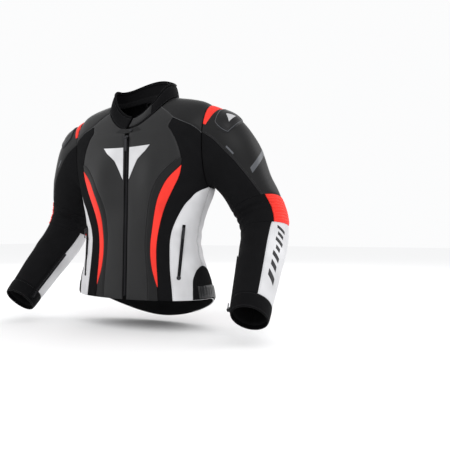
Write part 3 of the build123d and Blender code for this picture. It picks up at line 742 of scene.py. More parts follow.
@dataclass(frozen=True)
class Finish:
    """A material of the jacket.

    Attributes:
        name: the material's name.
        colour: linear base colour.
        roughness: from 0, mirror, to 1, chalk.
        metallic: 1 for metal.
        specular: strength of the plain reflection.
        sheen: fuzz of cloth.
        cells: leather cells per metre, or 0 for none.
        weave: pitch of the knit in metres, or 0 for none.
        depth: height of the grain or weave in metres.
        holes: whether it is punched, with painted shade in each hole.
    """

    name: str
    colour: tuple[float, float, float]
    roughness: float
    metallic: float = 0.0
    specular: float = 0.5
    sheen: float = 0.0
    cells: float = 0.0
    weave: float = 0.0
    depth: float = 0.0
    holes: bool = False

    @cache
    def material(self) -> bpy.types.Material:
        """The material, made on first use.

        Returns:
            the material, made once.
        """
        made = bpy.data.materials.new("look_" + self.name)
        made.use_nodes = True
        w = Wiring(made.node_tree)
        shader = made.node_tree.nodes["Principled BSDF"]
        shader.inputs["Base Color"].default_value = (*self.colour, 1)
        shader.inputs["Roughness"].default_value = self.roughness
        shader.inputs["Metallic"].default_value = self.metallic
        shader.inputs["Specular IOR Level"].default_value = self.specular
        shader.inputs["Sheen Weight"].default_value = self.sheen
        shader.inputs["Sheen Roughness"].default_value = 0.6
        self.texture(w, shader)
        return made

    def texture(self, w: Wiring, shader: bpy.types.Node) -> None:
        """Adds the grain, weave and holes that this finish has; each hole is a dent with painted shade in it.

        Args:
            w: the material's wiring.
            shader: its surface shader.
        """
        if not (self.cells or self.weave):
            return
        place = w.node("TexCoord")
        if self.cells:
            effect, key, value, vector = GROUPS["leather_grain"], "Cells", self.cells, place.outputs["Object"]
        else:
            effect, key, value, vector = GROUPS["cloth_weave"], "Pitch", self.weave, place.outputs["UV"]
        group = w.node("Group", node_tree=effect)
        group.inputs[key].default_value = value
        w.tree.links.new(vector, group.inputs["Vector"])
        tint = w.node("Mix", data_type="RGBA", blend_type="MULTIPLY")
        tint.inputs[0].default_value = 1.0
        tint.inputs[6].default_value = (*self.colour, 1)
        w.tree.links.new(group.outputs["Tone"], tint.inputs[7])
        colour, height = tint.outputs[2], group.outputs["Height"]
        if self.holes:
            punch = w.node("Group", node_tree=GROUPS["punched_holes"])
            w.tree.links.new(place.outputs["UV"], punch.inputs["Vector"])
            # Painted shade: each punched hole is coloured near-black for the depth of the hole.
            dark = w.node("Mix", data_type="RGBA")
            dark.inputs[7].default_value = (0.002, 0.002, 0.002, 1)
            w.tree.links.new(punch.outputs["Hole"], dark.inputs[0])
            w.tree.links.new(colour, dark.inputs[6])
            colour = dark.outputs[2]
            height = w.math("SUBTRACT", height, w.math("MULTIPLY", punch.outputs["Hole"], 3.0))
        w.tree.links.new(colour, shader.inputs["Base Color"])
        bump_node = w.node("Bump", {"Strength": 1.0, "Distance": self.depth, "Height": height})
        w.tree.links.new(bump_node.outputs[0], shader.inputs["Normal"])


GROUPS = {"leather_grain": leather_grain(), "cloth_weave": cloth_weave(), "punched_holes": punched_holes()}

BLACK = Finish("black_leather", (0.008, 0.008, 0.0085), 0.43, specular=0.17, cells=900, depth=0.00008)
PUNCHED = Finish("punched_leather", (0.0155, 0.0155, 0.0162), 0.44, specular=0.22, cells=900, depth=0.00008,
                 holes=True)
GLOSSY = Finish("glossy_leather", (0.008, 0.008, 0.009), 0.24, specular=0.4, cells=700, depth=0.00008)
STRETCHY = Finish("stretch_cloth", (0.0058, 0.0058, 0.0064), 0.85, specular=0.06, weave=0.0011, depth=0.00006)
WHITE = Finish("white_leather", (0.6, 0.6, 0.614), 0.5, specular=0.3, cells=900, depth=0.0001)
RED = Finish("red_leather", (0.86, 0.035, 0.022), 0.5, specular=0.2, cells=900, depth=0.0001)
COLLAR_CLOTH = Finish("collar_cloth", (0.0032, 0.0032, 0.0037), 0.7, specular=0.06, weave=0.0009,
                      depth=0.00006)
LINING_CLOTH = Finish("lining_cloth", (0.006, 0.006, 0.0066), 0.9, specular=0.1, weave=0.002, depth=0.0002)
TAPE = Finish("zip_tape", (0.005, 0.005, 0.0056), 0.85, specular=0.12, weave=0.0009, depth=0.0001)
METAL = Finish("zip_metal", (0.035, 0.035, 0.038), 0.34, metallic=1.0)
CUP = Finish("hard_cup", (0.007, 0.007, 0.0078), 0.36, specular=0.2)
SILVER = Finish("reflective", (0.075, 0.08, 0.09), 0.35, metallic=0.2)
PALE_MARK = Finish("pale_mark", (0.45, 0.45, 0.46), 0.45)
DARK_MARK = Finish("dark_mark", (0.015, 0.015, 0.017), 0.5, specular=0.25)
BLACK_THREAD = Finish("black_thread", (0.055, 0.055, 0.058), 0.6, specular=0.2)
GREY_PIPING = Finish("grey_piping", (0.075, 0.077, 0.08), 0.45)
WHITE_THREAD = Finish("white_thread", (0.36, 0.36, 0.37), 0.6)
# Painted seam shade: a grey cord laid in the seams of the white panels for the shade in the seam.
SEAM_SHADE_CORD = Finish("seam_grey", (0.15, 0.15, 0.155), 0.7, specular=0.1)


# ---------------------------------------------------------------- meshes
@dataclass
class Shell:
    """One closed part of a mesh: points in millimetres, faces, a finish and a place on the cloth."""

    points: Array
    faces: list[Array]
    finish: Finish
    uv: Array | None = None


def mesh_piece(name: str, shells: Sequence[Shell], mirrored: bool = False) -> bpy.types.Object:
    """A mesh object from closed parts.

    Args:
        name: the piece's name.
        shells: its parts.
        mirrored: whether X is turned over, with the faces turned round to match.

    Returns:
        The object, linked to the scene, with a material slot for each finish.
    """
    finishes = list(dict.fromkeys(s.finish for s in shells))
    points = np.concatenate([s.points for s in shells]) * MM
    if mirrored:
        points = points * [-1, 1, 1]
    places = np.concatenate([s.uv * MM if s.uv is not None else s.points[:, [0, 2]] * MM for s in shells])
    loops, sizes, slots, start = [], [], [], 0
    for shell in shells:
        for faces in shell.faces:
            turned = faces[:, ::-1] if mirrored else faces
            loops.append((turned + start).ravel())
            sizes.append(np.full(len(faces), faces.shape[1]))
            slots.append(np.full(len(faces), finishes.index(shell.finish)))
        start += len(shell.points)
    loops, sizes, slots = (np.concatenate(group) for group in (loops, sizes, slots))
    mesh = bpy.data.meshes.new(name)
    mesh.vertices.add(len(points))
    mesh.vertices.foreach_set("co", points.ravel().astype(np.float32))
    mesh.loops.add(len(loops))
    mesh.loops.foreach_set("vertex_index", loops.astype(np.int32))
    mesh.polygons.add(len(sizes))
    mesh.polygons.foreach_set("loop_start", np.concatenate([[0], np.cumsum(sizes)[:-1]]).astype(np.int32))
    mesh.polygons.foreach_set("material_index", slots.astype(np.int32))
    mesh.polygons.foreach_set("use_smooth", np.ones(len(sizes), bool))
    mesh.uv_layers.new(name="UVMap").data.foreach_set("uv", places[loops].ravel().astype(np.float32))
    mesh.update(calc_edges=True)
    mesh.validate()
    for finish in finishes:
        mesh.materials.append(finish.material())
    piece = bpy.data.objects.new(name, mesh)
    bpy.context.collection.objects.link(piece)
    LOG.info("%s: %d faces", name, len(sizes))
    return piece


def grid_faces(rows: int, columns: int) -> Array:
    """Four-sided faces of a grid of points whose second index runs fastest."""
    corner = (np.arange(rows - 1)[:, None] * columns + np.arange(columns - 1)[None, :]).ravel()
    return np.stack([corner, corner + columns, corner + columns + 1, corner + 1], -1)


def unit(vectors: Array) -> Array:
    """Vectors scaled to length one."""
    return vectors / np.maximum(np.linalg.norm(vectors, axis=-1, keepdims=True), 1e-9)


def closed_shell(outer: Array, inner: Array, finish: Finish, uv: Array | None = None) -> Shell:
    """A shell from matching outer and inner grids, joined by faces round the rim.

    Args:
        outer: grid of outside points.
        inner: grid of the points under them.
        finish: its look.
        uv: grid of texture positions.

    Returns:
        the closed shell.
    """
    rows, columns = outer.shape[:2]
    count = rows * columns
    skin = grid_faces(rows, columns)
    index = np.arange(count).reshape(rows, columns)
    rim = np.concatenate([index[0, :-1], index[:-1, -1], index[-1, :0:-1], index[:0:-1, 0]])
    following = np.roll(rim, -1)
    side = np.stack([rim, following, following + count, rim + count], -1)
    points = np.concatenate([outer.reshape(-1, 3), inner.reshape(-1, 3)])
    places = None if uv is None else np.concatenate([uv.reshape(-1, 2)] * 2)
    return Shell(points, [skin, skin[:, ::-1] + count, side], finish, places)


EDGE_STEPS = np.array([0, 0.4, 0.9, 1.5, 2.1, 2.7, 3.3, 4.1, 5.4, 7.2])


def stops(length: float, size: float, edged: bool) -> Array:
    """Shares of a length for the mesh: crowded near the ends when these are rolled, even elsewhere.

    Args:
        length: length to divide.
        size: usual step away from the ends.
        edged: whether steps shorten at the ends.

    Returns:
        shares from 0 to 1.
    """
    edge = EDGE_STEPS[EDGE_STEPS < 0.4 * length] if edged else EDGE_STEPS[:1]
    count = max(2, round((length - 2 * edge[-1]) / size))
    middle = np.linspace(edge[-1], length - edge[-1], count + 1)[1:-1]
    return np.concatenate([edge, middle, length - edge[::-1]]) / length


class Rim(Enum):
    """The four edges of a panel: its two sides, then its bottom and top."""

    WEST = 0
    EAST = 1
    SOUTH = 2
    NORTH = 3


W, E, S, N = Rim


@dataclass(frozen=True)
class Stitching:
    """A row of thread along one edge of a panel.

    Attributes:
        edge: the edge it runs along.
        inset: distance from that edge in millimetres.
        finish: the thread.
    """

    edge: Rim
    inset: float = 2.4
    finish: Finish = BLACK_THREAD


@dataclass(frozen=True)
class Piping:
    """A thin cord or bright line sewn along one edge of a panel, or a grey line of painted seam shade."""

    edge: Rim
    finish: Finish = GREY_PIPING
    radius: float = 0.75


@dataclass(frozen=True)
class Ribs:
    """Padded ribs across a panel: half-round ridges with narrow valleys.

    Attributes:
        axis: 0 if the ribs follow each other across the panel, 1 if they do up it.
        pitch: from rib to rib in millimetres.
        height: of a rib.
    """

    axis: int
    pitch: float
    height: float


PITCH = 4.2  # from stitch to stitch
SWELL_REACH = 5.0  # how far inside its edges a panel has swollen by two thirds
ROLL_REACH = 0.8  # how far inside its edges it has come up from the seam by two thirds


def thread(line: Array, normal: Array, finish: Finish, half: float = 1.35, radius: float = 0.42) -> Shell:
    """Separate stitches along a line, each a pointed lozenge of six points lying on the cloth.

    Args:
        line: points along the seam.
        normal: outward direction at each.
        finish: its look.
        half: half the length of a stitch.
        radius: half its thickness.

    Returns:
        all the stitches.
    """
    run = np.concatenate([[0], np.cumsum(np.linalg.norm(np.diff(line, axis=0), axis=1))])
    count = max(1, int(run[-1] / PITCH))
    at = (np.arange(count) + 0.5) * run[-1] / count
    centre = np.stack([np.interp(at, run, line[:, k]) for k in range(3)], -1)
    up = unit(np.stack([np.interp(at, run, normal[:, k]) for k in range(3)], -1))
    ends = [np.stack([np.interp(at + shift, run, line[:, k]) for k in range(3)], -1) for shift in (-0.5, 0.5)]
    ahead = unit(ends[1] - ends[0])
    side = np.cross(up, ahead)
    shape = np.array([[-half, 0, -0.1], [0, radius, 0.1], [0, 0, radius + 0.1], [0, -radius, 0.1],
                      [0, 0, -radius], [half, 0, -0.1]])
    points = (centre[:, None] + ahead[:, None] * shape[None, :, 0:1] + side[:, None] * shape[None, :, 1:2]
              + up[:, None] * shape[None, :, 2:3])
    ring = [1, 2, 3, 4]
    faces = [[0, ring[(k + 1) % 4], ring[k]] for k in range(4)]
    faces += [[5, ring[k], ring[(k + 1) % 4]] for k in range(4)]
    faces = np.array(faces)[None] + 6 * np.arange(count)[:, None, None]
    return Shell(points.reshape(-1, 3), [faces.reshape(-1, 3)], finish)


def cord_shell(line: Array, radius: float, finish: Finish, sides: int = 8) -> Shell:
    """A round tube along a line, its ends closed by a point.

    Args:
        line: points along its middle.
        radius: half its thickness.
        finish: its look.
        sides: corners of its section.

    Returns:
        the closed cord.
    """
    ahead = unit(np.gradient(line, axis=0))
    guide = np.cross(ahead, [0.3, 0.2, 0.93])
    first = unit(guide)
    second = np.cross(ahead, first)
    turn = np.linspace(0, 2 * math.pi, sides, endpoint=False)
    ring = line[:, None] + radius * (np.cos(turn)[None, :, None] * first[:, None]
                                     + np.sin(turn)[None, :, None] * second[:, None])
    count = len(line)
    index = np.arange(count * sides).reshape(count, sides)
    here, there = index[:-1], index[1:]
    quads = np.stack([here, np.roll(here, -1, 1), np.roll(there, -1, 1), there], -1).reshape(-1, 4)
    start = np.stack([np.full(sides, count * sides), np.roll(index[0], -1), index[0]], -1)
    end = np.stack([np.full(sides, count * sides + 1), index[-1], np.roll(index[-1], -1)], -1)
    points = np.concatenate([ring.reshape(-1, 3), line[:1], line[-1:]])
    return Shell(points, [quads, start, end], finish)


def dome(centre: Array, outward: Array, radius: float, base: float, top: float) -> Shell:
    """A low round stud on the cloth, its foot and crown at two heights above centre.

    Args:
        centre: point on the cloth.
        outward: direction away from it.
        radius: of its foot.
        base: height at which its side begins.
        top: height of its crown.

    Returns:
        the closed dome.
    """
    first = unit(np.cross(outward, [0.3, 0.2, 0.93]))
    second = np.cross(outward, first)
    turn = np.linspace(0, 2 * math.pi, 20, endpoint=False)
    rings = []
    for share, height in ((1.0, base - 2.5), (1.0, base + 0.6), (0.82, top - 0.5), (0.45, top),
                          (0.3, top - 0.5)):
        rings.append(centre + outward * height + radius * share * (np.cos(turn)[:, None] * first
                                                                   + np.sin(turn)[:, None] * second))
    index = np.arange(100).reshape(5, 20)
    here, there = index[:-1], index[1:]
    walls = np.stack([here, np.roll(here, -1, 1), np.roll(there, -1, 1), there], -1).reshape(-1, 4)
    return Shell(np.concatenate(rings), [walls, index[:1, ::-1], index[-1:]], METAL)


@dataclass(frozen=True)
class Panel:
    """A cut piece of leather or cloth.

    Its mesh is an outer grid, swollen between its seams and rolled under at them, an inner grid, and
    a rim. Stitches and piping follow the swollen surface.

    Attributes:
        surface: gives points and outward lift for two shares and a phase.
        finish: its material.
        thickness: in millimetres.
        rolled: which of its west, east, south and north edges roll under.
        puff: how far it swells between its seams.
        roll: how far its edges go down.
        size: side of its mesh faces.
        ribs: its ribs, if it has any.
        stitching: rows of thread.
        piping: cords along its edges.
    """

    surface: Surface
    finish: Finish
    thickness: float = LEATHER
    rolled: tuple[bool, bool, bool, bool] = (True, True, True, True)
    puff: float = 1.0
    roll: float = 1.0
    size: float = 4.5
    ribs: Ribs | None = None
    stitching: tuple[Stitching, ...] = ()
    piping: tuple[Piping, ...] = ()

    def shells(self, phase: float = 0.0) -> list[Shell]:
        """The panel's parts for one phase of the folds.

        Args:
            phase: shift of its creases.

        Returns:
            the panel itself, then its stitches and piping.
        """
        coarse, _ = self.surface(np.linspace(0, 1, 25)[:, None], np.linspace(0, 1, 25)[None, :], phase)
        wide = np.linalg.norm(np.diff(coarse, axis=0), axis=-1).sum(0).max()
        tall = np.linalg.norm(np.diff(coarse, axis=1), axis=-1).sum(1).max()
        sizes = [self.size, self.size]
        if self.ribs:
            sizes[self.ribs.axis] = self.ribs.pitch / 6
        a = stops(wide, sizes[0], self.rolled[0] or self.rolled[1])
        b = stops(tall, sizes[1], self.rolled[2] or self.rolled[3])
        points, lift = self.surface(a[:, None], b[None, :], phase)
        normal = unit(np.cross(np.gradient(points, a, axis=0), np.gradient(points, b, axis=1)))
        across = np.pad(np.cumsum(np.linalg.norm(np.diff(points, axis=0), axis=-1), 0), ((1, 0), (0, 0)))
        up = np.pad(np.cumsum(np.linalg.norm(np.diff(points, axis=1), axis=-1), 1), ((0, 0), (1, 0)))
        distance = np.stack([across, across[-1:] - across, up, up[:, -1:] - up])
        far = np.where(np.array(self.rolled)[:, None, None], distance, 1e3).min(0)
        raised = lift + self.puff * (1 - np.exp(-far / SWELL_REACH)) - self.roll * np.exp(-far / ROLL_REACH)
        for row in self.stitching:
            raised = raised - 0.4 * bump(distance[row.edge.value], row.inset, 0.8)
        if self.ribs:
            way = (across, up)[self.ribs.axis]
            wave = np.abs(np.sin(math.pi * way / self.ribs.pitch)) ** 0.5
            raised = raised + self.ribs.height * wave * (1 - np.exp(-far / 2))
        outer = points + normal * raised[..., None]
        inner = points + normal * (np.minimum(lift, raised) - self.thickness)[..., None]
        shells = [closed_shell(outer, inner, self.finish, np.stack([across, up], -1))]
        for row in self.stitching:
            shells.append(thread(*self.inset_line(outer, normal, distance, row.edge, row.inset), row.finish))
        for cord in self.piping:
            line, _ = self.inset_line(outer, normal, distance, cord.edge, 0.0)
            shells.append(cord_shell(line[::2] if len(line) % 2 else line, cord.radius, cord.finish))
        return shells

    @staticmethod
    def inset_line(points: Array, normal: Array, distance: Array, edge: Rim,
                   inset: float) -> tuple[Array, Array]:
        """The line on a grid at a fixed distance inside one of its edges, with its outward directions.

        Args:
            points: grid of outside points.
            normal: outward direction at each.
            distance: how far each is from the edge.
            edge: which edge.
            inset: how far inside it the line runs.

        Returns:
            the line's points and their outward directions.
        """
        away = distance[edge.value]
        if edge in (S, N):
            points, normal, away = np.swapaxes(points, 0, 1), np.swapaxes(normal, 0, 1), away.T
        if edge in (E, N):
            points, normal, away = points[::-1], normal[::-1], away[::-1]
        row = np.clip((away < inset).sum(0) - 1, 0, len(away) - 2)
        column = np.arange(away.shape[1])
        step = away[row + 1, column] - away[row, column]
        share = np.clip((inset - away[row, column]) / np.maximum(step, 1e-6), 0, 1)[:, None]
        line = points[row, column] * (1 - share) + points[row + 1, column] * share
        return line, normal[row, column]


PHASE = {Side.LEFT: 0.0, Side.RIGHT: 1.7}


# ---------------------------------------------------------------- placing
@dataclass(frozen=True)
class Bend:
    """The bodies and the two points of the left side, in millimetres, between which cloth turns from one body
    to the next; nothing reads them.
    """

    first: str
    second: str
    start: tuple[float, float, float]
    end: tuple[float, float, float]

    def apply(self, piece: bpy.types.Object, side: Side) -> None:
        """Bakes the piece's placement into its mesh; it is not bent, nor fastened to a body."""
        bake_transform(piece)


SHOULDER_BEND = Bend("jacket", "sleeve_{}", (183, 8, -139), (209, 8, -139))
ELBOW_BEND = Bend("sleeve_{}", "forearm_{}",
                  tuple(ELBOW - ELBOW_REACH * SLEEVE.axes(SLEEVE.row(0.5))[2]),
                  tuple(ELBOW + ELBOW_REACH * SLEEVE.axes(SLEEVE.row(0.72))[2]))


def sew(name: str, shells: Sequence[Shell], nodes: Sequence[str], side: Side = Side.LEFT,
        body: str | Bend = "jacket") -> bpy.types.Object:
    """Makes one finished piece from its parts and, unless it is given a bend, fastens it to the frame.

    Args:
        name: the piece's name.
        shells: its parts, as on the left side.
        nodes: the frame nodes that it stands for.
        side: the side it belongs to; the right one is mirrored.
        body: the body it rides on, or a bend, which only bakes the piece's placement.

    Returns:
        The object.
    """
    piece = mesh_piece(name, shells, side is Side.RIGHT)
    if isinstance(body, Bend):
        body.apply(piece, side)
    else:
        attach(piece, body.format(side.word))
    if nodes:
        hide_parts(*[node.format(side.word) for node in nodes])
    return piece


@dataclass(frozen=True)
class TorsoHalf:
    """The panels of one half of the body, front and back.

    Attributes:
        side: which half.
        zip_gap: from the centre plane to the leather's folded edge.
        top: level at which the panels meet the collar.
        stripe_foot: level of the red stripe's lower tip.
        stretch_top: level of the top of the front stretch panel.
        inset_lift: how far the waist inset stands off the white panels.
        shield: levels of the shield's corners, and degrees from the centre at each.
        shield_lift: how far the shield stands off the body.
    """

    side: Side
    zip_gap: float = 6.0
    top: float = 7.97
    stripe_foot: float = 0.76
    stretch_top: float = 7.02
    inset_lift: float = 1.6
    shield: tuple[tuple[float, float], ...] = ((4.2, 2.9), (4.85, 9.5), (5.2, 15.5), (5.52, 18.5))
    shield_lift: float = 2.1

    def sewn(self, name: str, panel: Panel, slot: str, node: str) -> bpy.types.Object:
        """One panel of this half, as a piece."""
        return sew(f"{name}_{self.side.word}", panel.shells(PHASE[self.side]), [node], self.side)

    def front(self) -> None:
        """The centre panel, the narrow strip beside it, the red stripe and the stretch panel."""
        centre = strip(lambda v: BODY.zip_edge(v, self.zip_gap), front_edge, 0, self.top)
        panel = Panel(centre, PUNCHED, stitching=(Stitching(W, 3.6), Stitching(E, 2.6)))
        self.sewn("front_panel", panel, "black_leather", "front_panel_{}")
        beside = strip(along_seam(PRINCESS), along_seam(STRIPE_INNER), 0, CHEST_CORNER)
        panel = Panel(beside, BLACK, stitching=(Stitching(W),))
        self.sewn("princess_strip", panel, "black_leather", "princess_strips")
        stripe = strip(along_seam(STRIPE_INNER), along_seam(STRIPE_OUTER), self.stripe_foot, STRIPE_TOP)
        self.sewn("front_stripe", Panel(stripe, RED, puff=1.4), "red_leather", "front_stripes")
        stretch = strip(stretch_inner, stretch_outer, 0, self.stretch_top)
        panel = Panel(stretch, STRETCHY, STRETCH, puff=0.5)
        self.sewn("front_stretch", panel, "stretch_cloth", "front_stretch_{}")

    def sides(self) -> None:
        """The two white side panels and the inset at the waist."""
        white = (Stitching(W, finish=WHITE_THREAD), Stitching(E, finish=WHITE_THREAD))
        front = strip(along_seam(SIDE_FRONT), fixed(SIDE_SEAM), 0, ARMPIT_LEVEL)
        # The grey cord in the side seam is painted seam shade.
        panel = Panel(front, WHITE, stitching=white + (Stitching(E, 5.6, WHITE_THREAD),),
                      piping=(Piping(E, SEAM_SHADE_CORD),))
        self.sewn("side_panel", panel, "white_leather", "side_panel_{}")
        flank = patch([(0, 88), (1.35, 88), (2.7, 88), (4.05, 88)], FLANK_BACK,
                      [(0, 88), (0, 109), (0, 130), (0, 151.6)], FLANK_TOP)
        self.sewn("flank_panel", Panel(flank, WHITE, stitching=white), "white_leather", "flank_panel_{}")
        inset = patch([(0.03, 58), (0.55, 59), (1.05, 62), (1.3, 70)],
                      [(0.03, 113), (0.55, 113), (1.05, 111), (1.3, 105)],
                      [(0.03, 58), (0.03, 76), (0.03, 94), (0.03, 113)],
                      [(1.3, 70), (1.4, 81), (1.4, 93), (1.3, 105)], self.inset_lift)
        panel = Panel(inset, STRETCHY, 1.3, puff=0.6, ribs=Ribs(0, 6.0, 0.9), stitching=(Stitching(N, 2.0),))
        self.sewn("waist_inset", panel, "stretch_cloth", "waist_insets")

    def shoulder(self) -> None:
        """The yoke over the shoulder, with bright piping along its two long seams."""
        low, high = BODY.armhole_levels()
        rise = np.array([5.73, 5.95, 6.2, 6.45, 6.7])
        fall = np.array([6.7, 6.45, 6.2, 5.98])
        arm = (list(zip(rise, BODY.armhole(rise))) + [(high, 90.0)]
               + list(zip(fall, BODY.armhole(fall, True))))
        neck = [(self.top, 54), (self.top, 75), (self.top, 97), (self.top, 118), (self.top, 140)]
        cut = patch(YOKE_FRONT[:-1] + [(self.top, 54)], YOKE_BACK[:-1] + [(self.top, 140)], arm, neck)

        def surface(a: Array, b: Array, phase: float) -> tuple[Array, Array]:
            """The patch, kept inside the armhole plane.

            Args:
                a: shares across the panel.
                b: shares up the panel.
                phase: shift of its creases.

            Returns:
                the points there, and how far the creases lift each.
            """
            points, lift = cut(a, b, phase)
            return np.minimum(points, [ARMHOLE_X, np.inf, np.inf]), lift

        panel = Panel(surface, BLACK, stitching=(Stitching(W), Stitching(E)), piping=(Piping(W), Piping(E)))
        self.sewn("yoke", panel, "black_leather", "yoke_{}")

    def back(self) -> None:
        """The stretch panel behind the armhole, the red line beside it and half the centre back."""
        stretch = strip(back_stretch_outer, back_stretch_inner, 4.07, 7.0)
        panel = Panel(stretch, STRETCHY, STRETCH, puff=0.5)
        self.sewn("back_stretch", panel, "stretch_cloth", "back_stretch")
        line = strip(along_seam(PIPING_OUTER), along_seam(PIPING_INNER), 2.12, 5.0)
        self.sewn("back_piping", Panel(line, RED, puff=1.2, size=3.0), "red_leather", "back_piping")
        centre = strip(along_seam(CENTRE_BACK), fixed(180), LUMBAR_TOP, self.top)
        stitches = (Stitching(W), Stitching(E), Stitching(S))
        self.sewn("back_centre", Panel(centre, BLACK, stitching=stitches), "black_leather", "back_centre")

    def emblem(self) -> None:
        """A plain white shield on the chest, parted by the zip."""
        levels, turns = zip(*self.shield)
        shape = strip(lambda v: BODY.zip_edge(v, self.zip_gap) + 0.8, lambda v: np.interp(v, levels, turns),
                      levels[0], levels[-1], self.shield_lift)
        self.sewn("emblem", Panel(shape, WHITE, 1.0, puff=0.3, roll=0.5, size=3.0), "white_leather", "emblem")

    def build(self) -> None:
        """Makes every panel of this half."""
        self.front()
        self.sides()
        self.shoulder()
        self.back()
        self.emblem()


@dataclass(frozen=True)
class CentreBack:
    """The pieces that lie across the centre of the back.

    Attributes:
        fold_low: level of the bottom of the folded insert.
        fold_high: level of its top.
        wedge: levels of the small red wedge's tip and top.
        wedge_slope: degrees that the wedge widens each way in one level.
    """

    fold_low: float = 5.35
    fold_high: float = 7.1
    wedge: tuple[float, float] = (0.78, 1.25)
    wedge_slope: float = 7.0

    def build(self) -> None:
        """Makes the lumbar panel and the red folded insert between the shoulder blades."""
        low = strip(fixed(151.6), fixed(208.4), 0, LUMBAR_TOP)
        panel = Panel(low, BLACK, stitching=(Stitching(N), Stitching(N, 6.0), Stitching(W), Stitching(E)))
        sew("lumbar_panel", panel.shells(), ["lumbar_panel"])

        def edge(turn: float) -> Edge:
            """One side of the insert, wider towards its top."""
            return lambda v: 180 + turn * np.interp(v, [self.fold_low, 6, self.fold_high], [3, 5.5, 7])

        insert = strip(edge(-1), edge(1), self.fold_low, self.fold_high, 1.2)
        panel = Panel(insert, RED, puff=0.4, ribs=Ribs(1, 7.4, 2.6))
        sew("back_accordion", panel.shells(), ["back_accordion"])
        tip, top = self.wedge
        slope = self.wedge_slope
        wedge = strip(lambda v: 180 - slope * (v - tip), lambda v: 180 + slope * (v - tip),
                      tip + 0.07, top, 1.5)
        panel = Panel(wedge, RED, 0.8, puff=0.2, roll=0.4, size=3.0)
        sew("back_wedge", panel.shells(), [])


@dataclass(frozen=True)
class Collar:
    """The padded stand collar with its soft rolled top, the tab that closes it and the zip's garage.

    Attributes:
        start: degrees from the front centre at which the collar begins.
        pad: thickness of its padding.
        roll_from: share of its height at which the top roll begins.
        tab: degrees at which the tab ends and begins.
        tab_lift: how far the tab stands off the collar.
        snap: degrees and level of the snap on the zip's flap.
    """

    start: float = 4.5
    pad: float = 3.5
    roll_from: float = 0.9
    tab: tuple[float, float] = (1.0, 38.0)
    tab_lift: float = 3.0
    snap: tuple[float, float] = (5.0, 7.5)

    def stand(self) -> None:
        """The collar itself, its top roll and the tape that covers the neck seam inside."""
        around = (self.start, 360 - self.start)
        body = Panel(collar_patch(*around, 0.0, self.roll_from), COLLAR_CLOTH, self.pad, puff=1.6, roll=1.2,
                     stitching=(Stitching(S, 3.0), Stitching(N, 3.0)))
        stand = sew("collar", body.shells(), ["collar"])
        roll = Panel(collar_patch(*around, self.roll_from, 1.07, 0.4), COLLAR_CLOTH, self.pad + 1.0, puff=1.8,
                     roll=1.6, size=3.0)
        sew("collar_trim", roll.shells(), ["collar_trim"])
        inside = Panel(collar_patch(6, 354, -0.14, 0.25, -self.pad - 0.8), LINING_CLOTH, 0.7,
                       rolled=(False,) * 4, puff=0, roll=0)
        sew("neck_tape", inside.shells(), [])

    def closure(self) -> None:
        """The tab on the wearer's left and the flap that covers the top of the zip."""
        tab = Panel(collar_patch(*self.tab, 0.1, 0.84, self.tab_lift), BLACK, 1.8, puff=0.5,
                    stitching=tuple(Stitching(edge, 3.0) for edge in Rim))
        sew("collar_tab", tab.shells(), ["collar_tab"], body="collar_tab")
        garage = Panel(strip(fixed(-13), fixed(15), 7.2, 7.95, 1.4), BLACK, 1.4, puff=0.5, size=3.0,
                       stitching=(Stitching(S, 2.5),))
        angle, level = self.snap
        turn = BODY.point(angle + 1, level) - BODY.point(angle - 1, level)
        rise = BODY.point(angle, level) - BODY.point(angle, level - 0.05)
        snap = dome(BODY.point(angle, level), unit(np.cross(turn, rise)), 4.2, 2.6, 4.6)
        sew("zip_garage", garage.shells() + [snap], [])

    def build(self) -> None:
        """Makes the collar's pieces."""
        self.stand()
        self.closure()


def upper_end(angle: Array) -> Array:
    """How far along the upper sleeve reaches: less in front of the elbow, more behind it."""
    return 0.5375 - 0.0375 * np.sin(np.radians(angle))


def forearm_start(angle: Array) -> Array:
    """Where the forearm begins: lower in front of the elbow, higher behind it."""
    return 0.69 + 0.035 * np.sin(np.radians(angle))


def band_edge(angle: Array) -> Array:
    """Outer edge of the shoulder band: a point in front, square behind."""
    taper = np.sqrt(np.clip(1 - (np.maximum(angle, 0) / 68) ** 2, 0.002, 1))
    return 0.012 + 0.05 * taper


def stripe_edge(side: float) -> Edge:
    """One edge of the slanted reflective stripe, as distance along at each angle."""
    return lambda angle: 0.385 - (50 - angle) * 0.001 + side


def slanted(place: float) -> Edge:
    """An edge across the forearm, slanting down towards the back."""
    return lambda angle: place - (angle - 22) * 0.0006


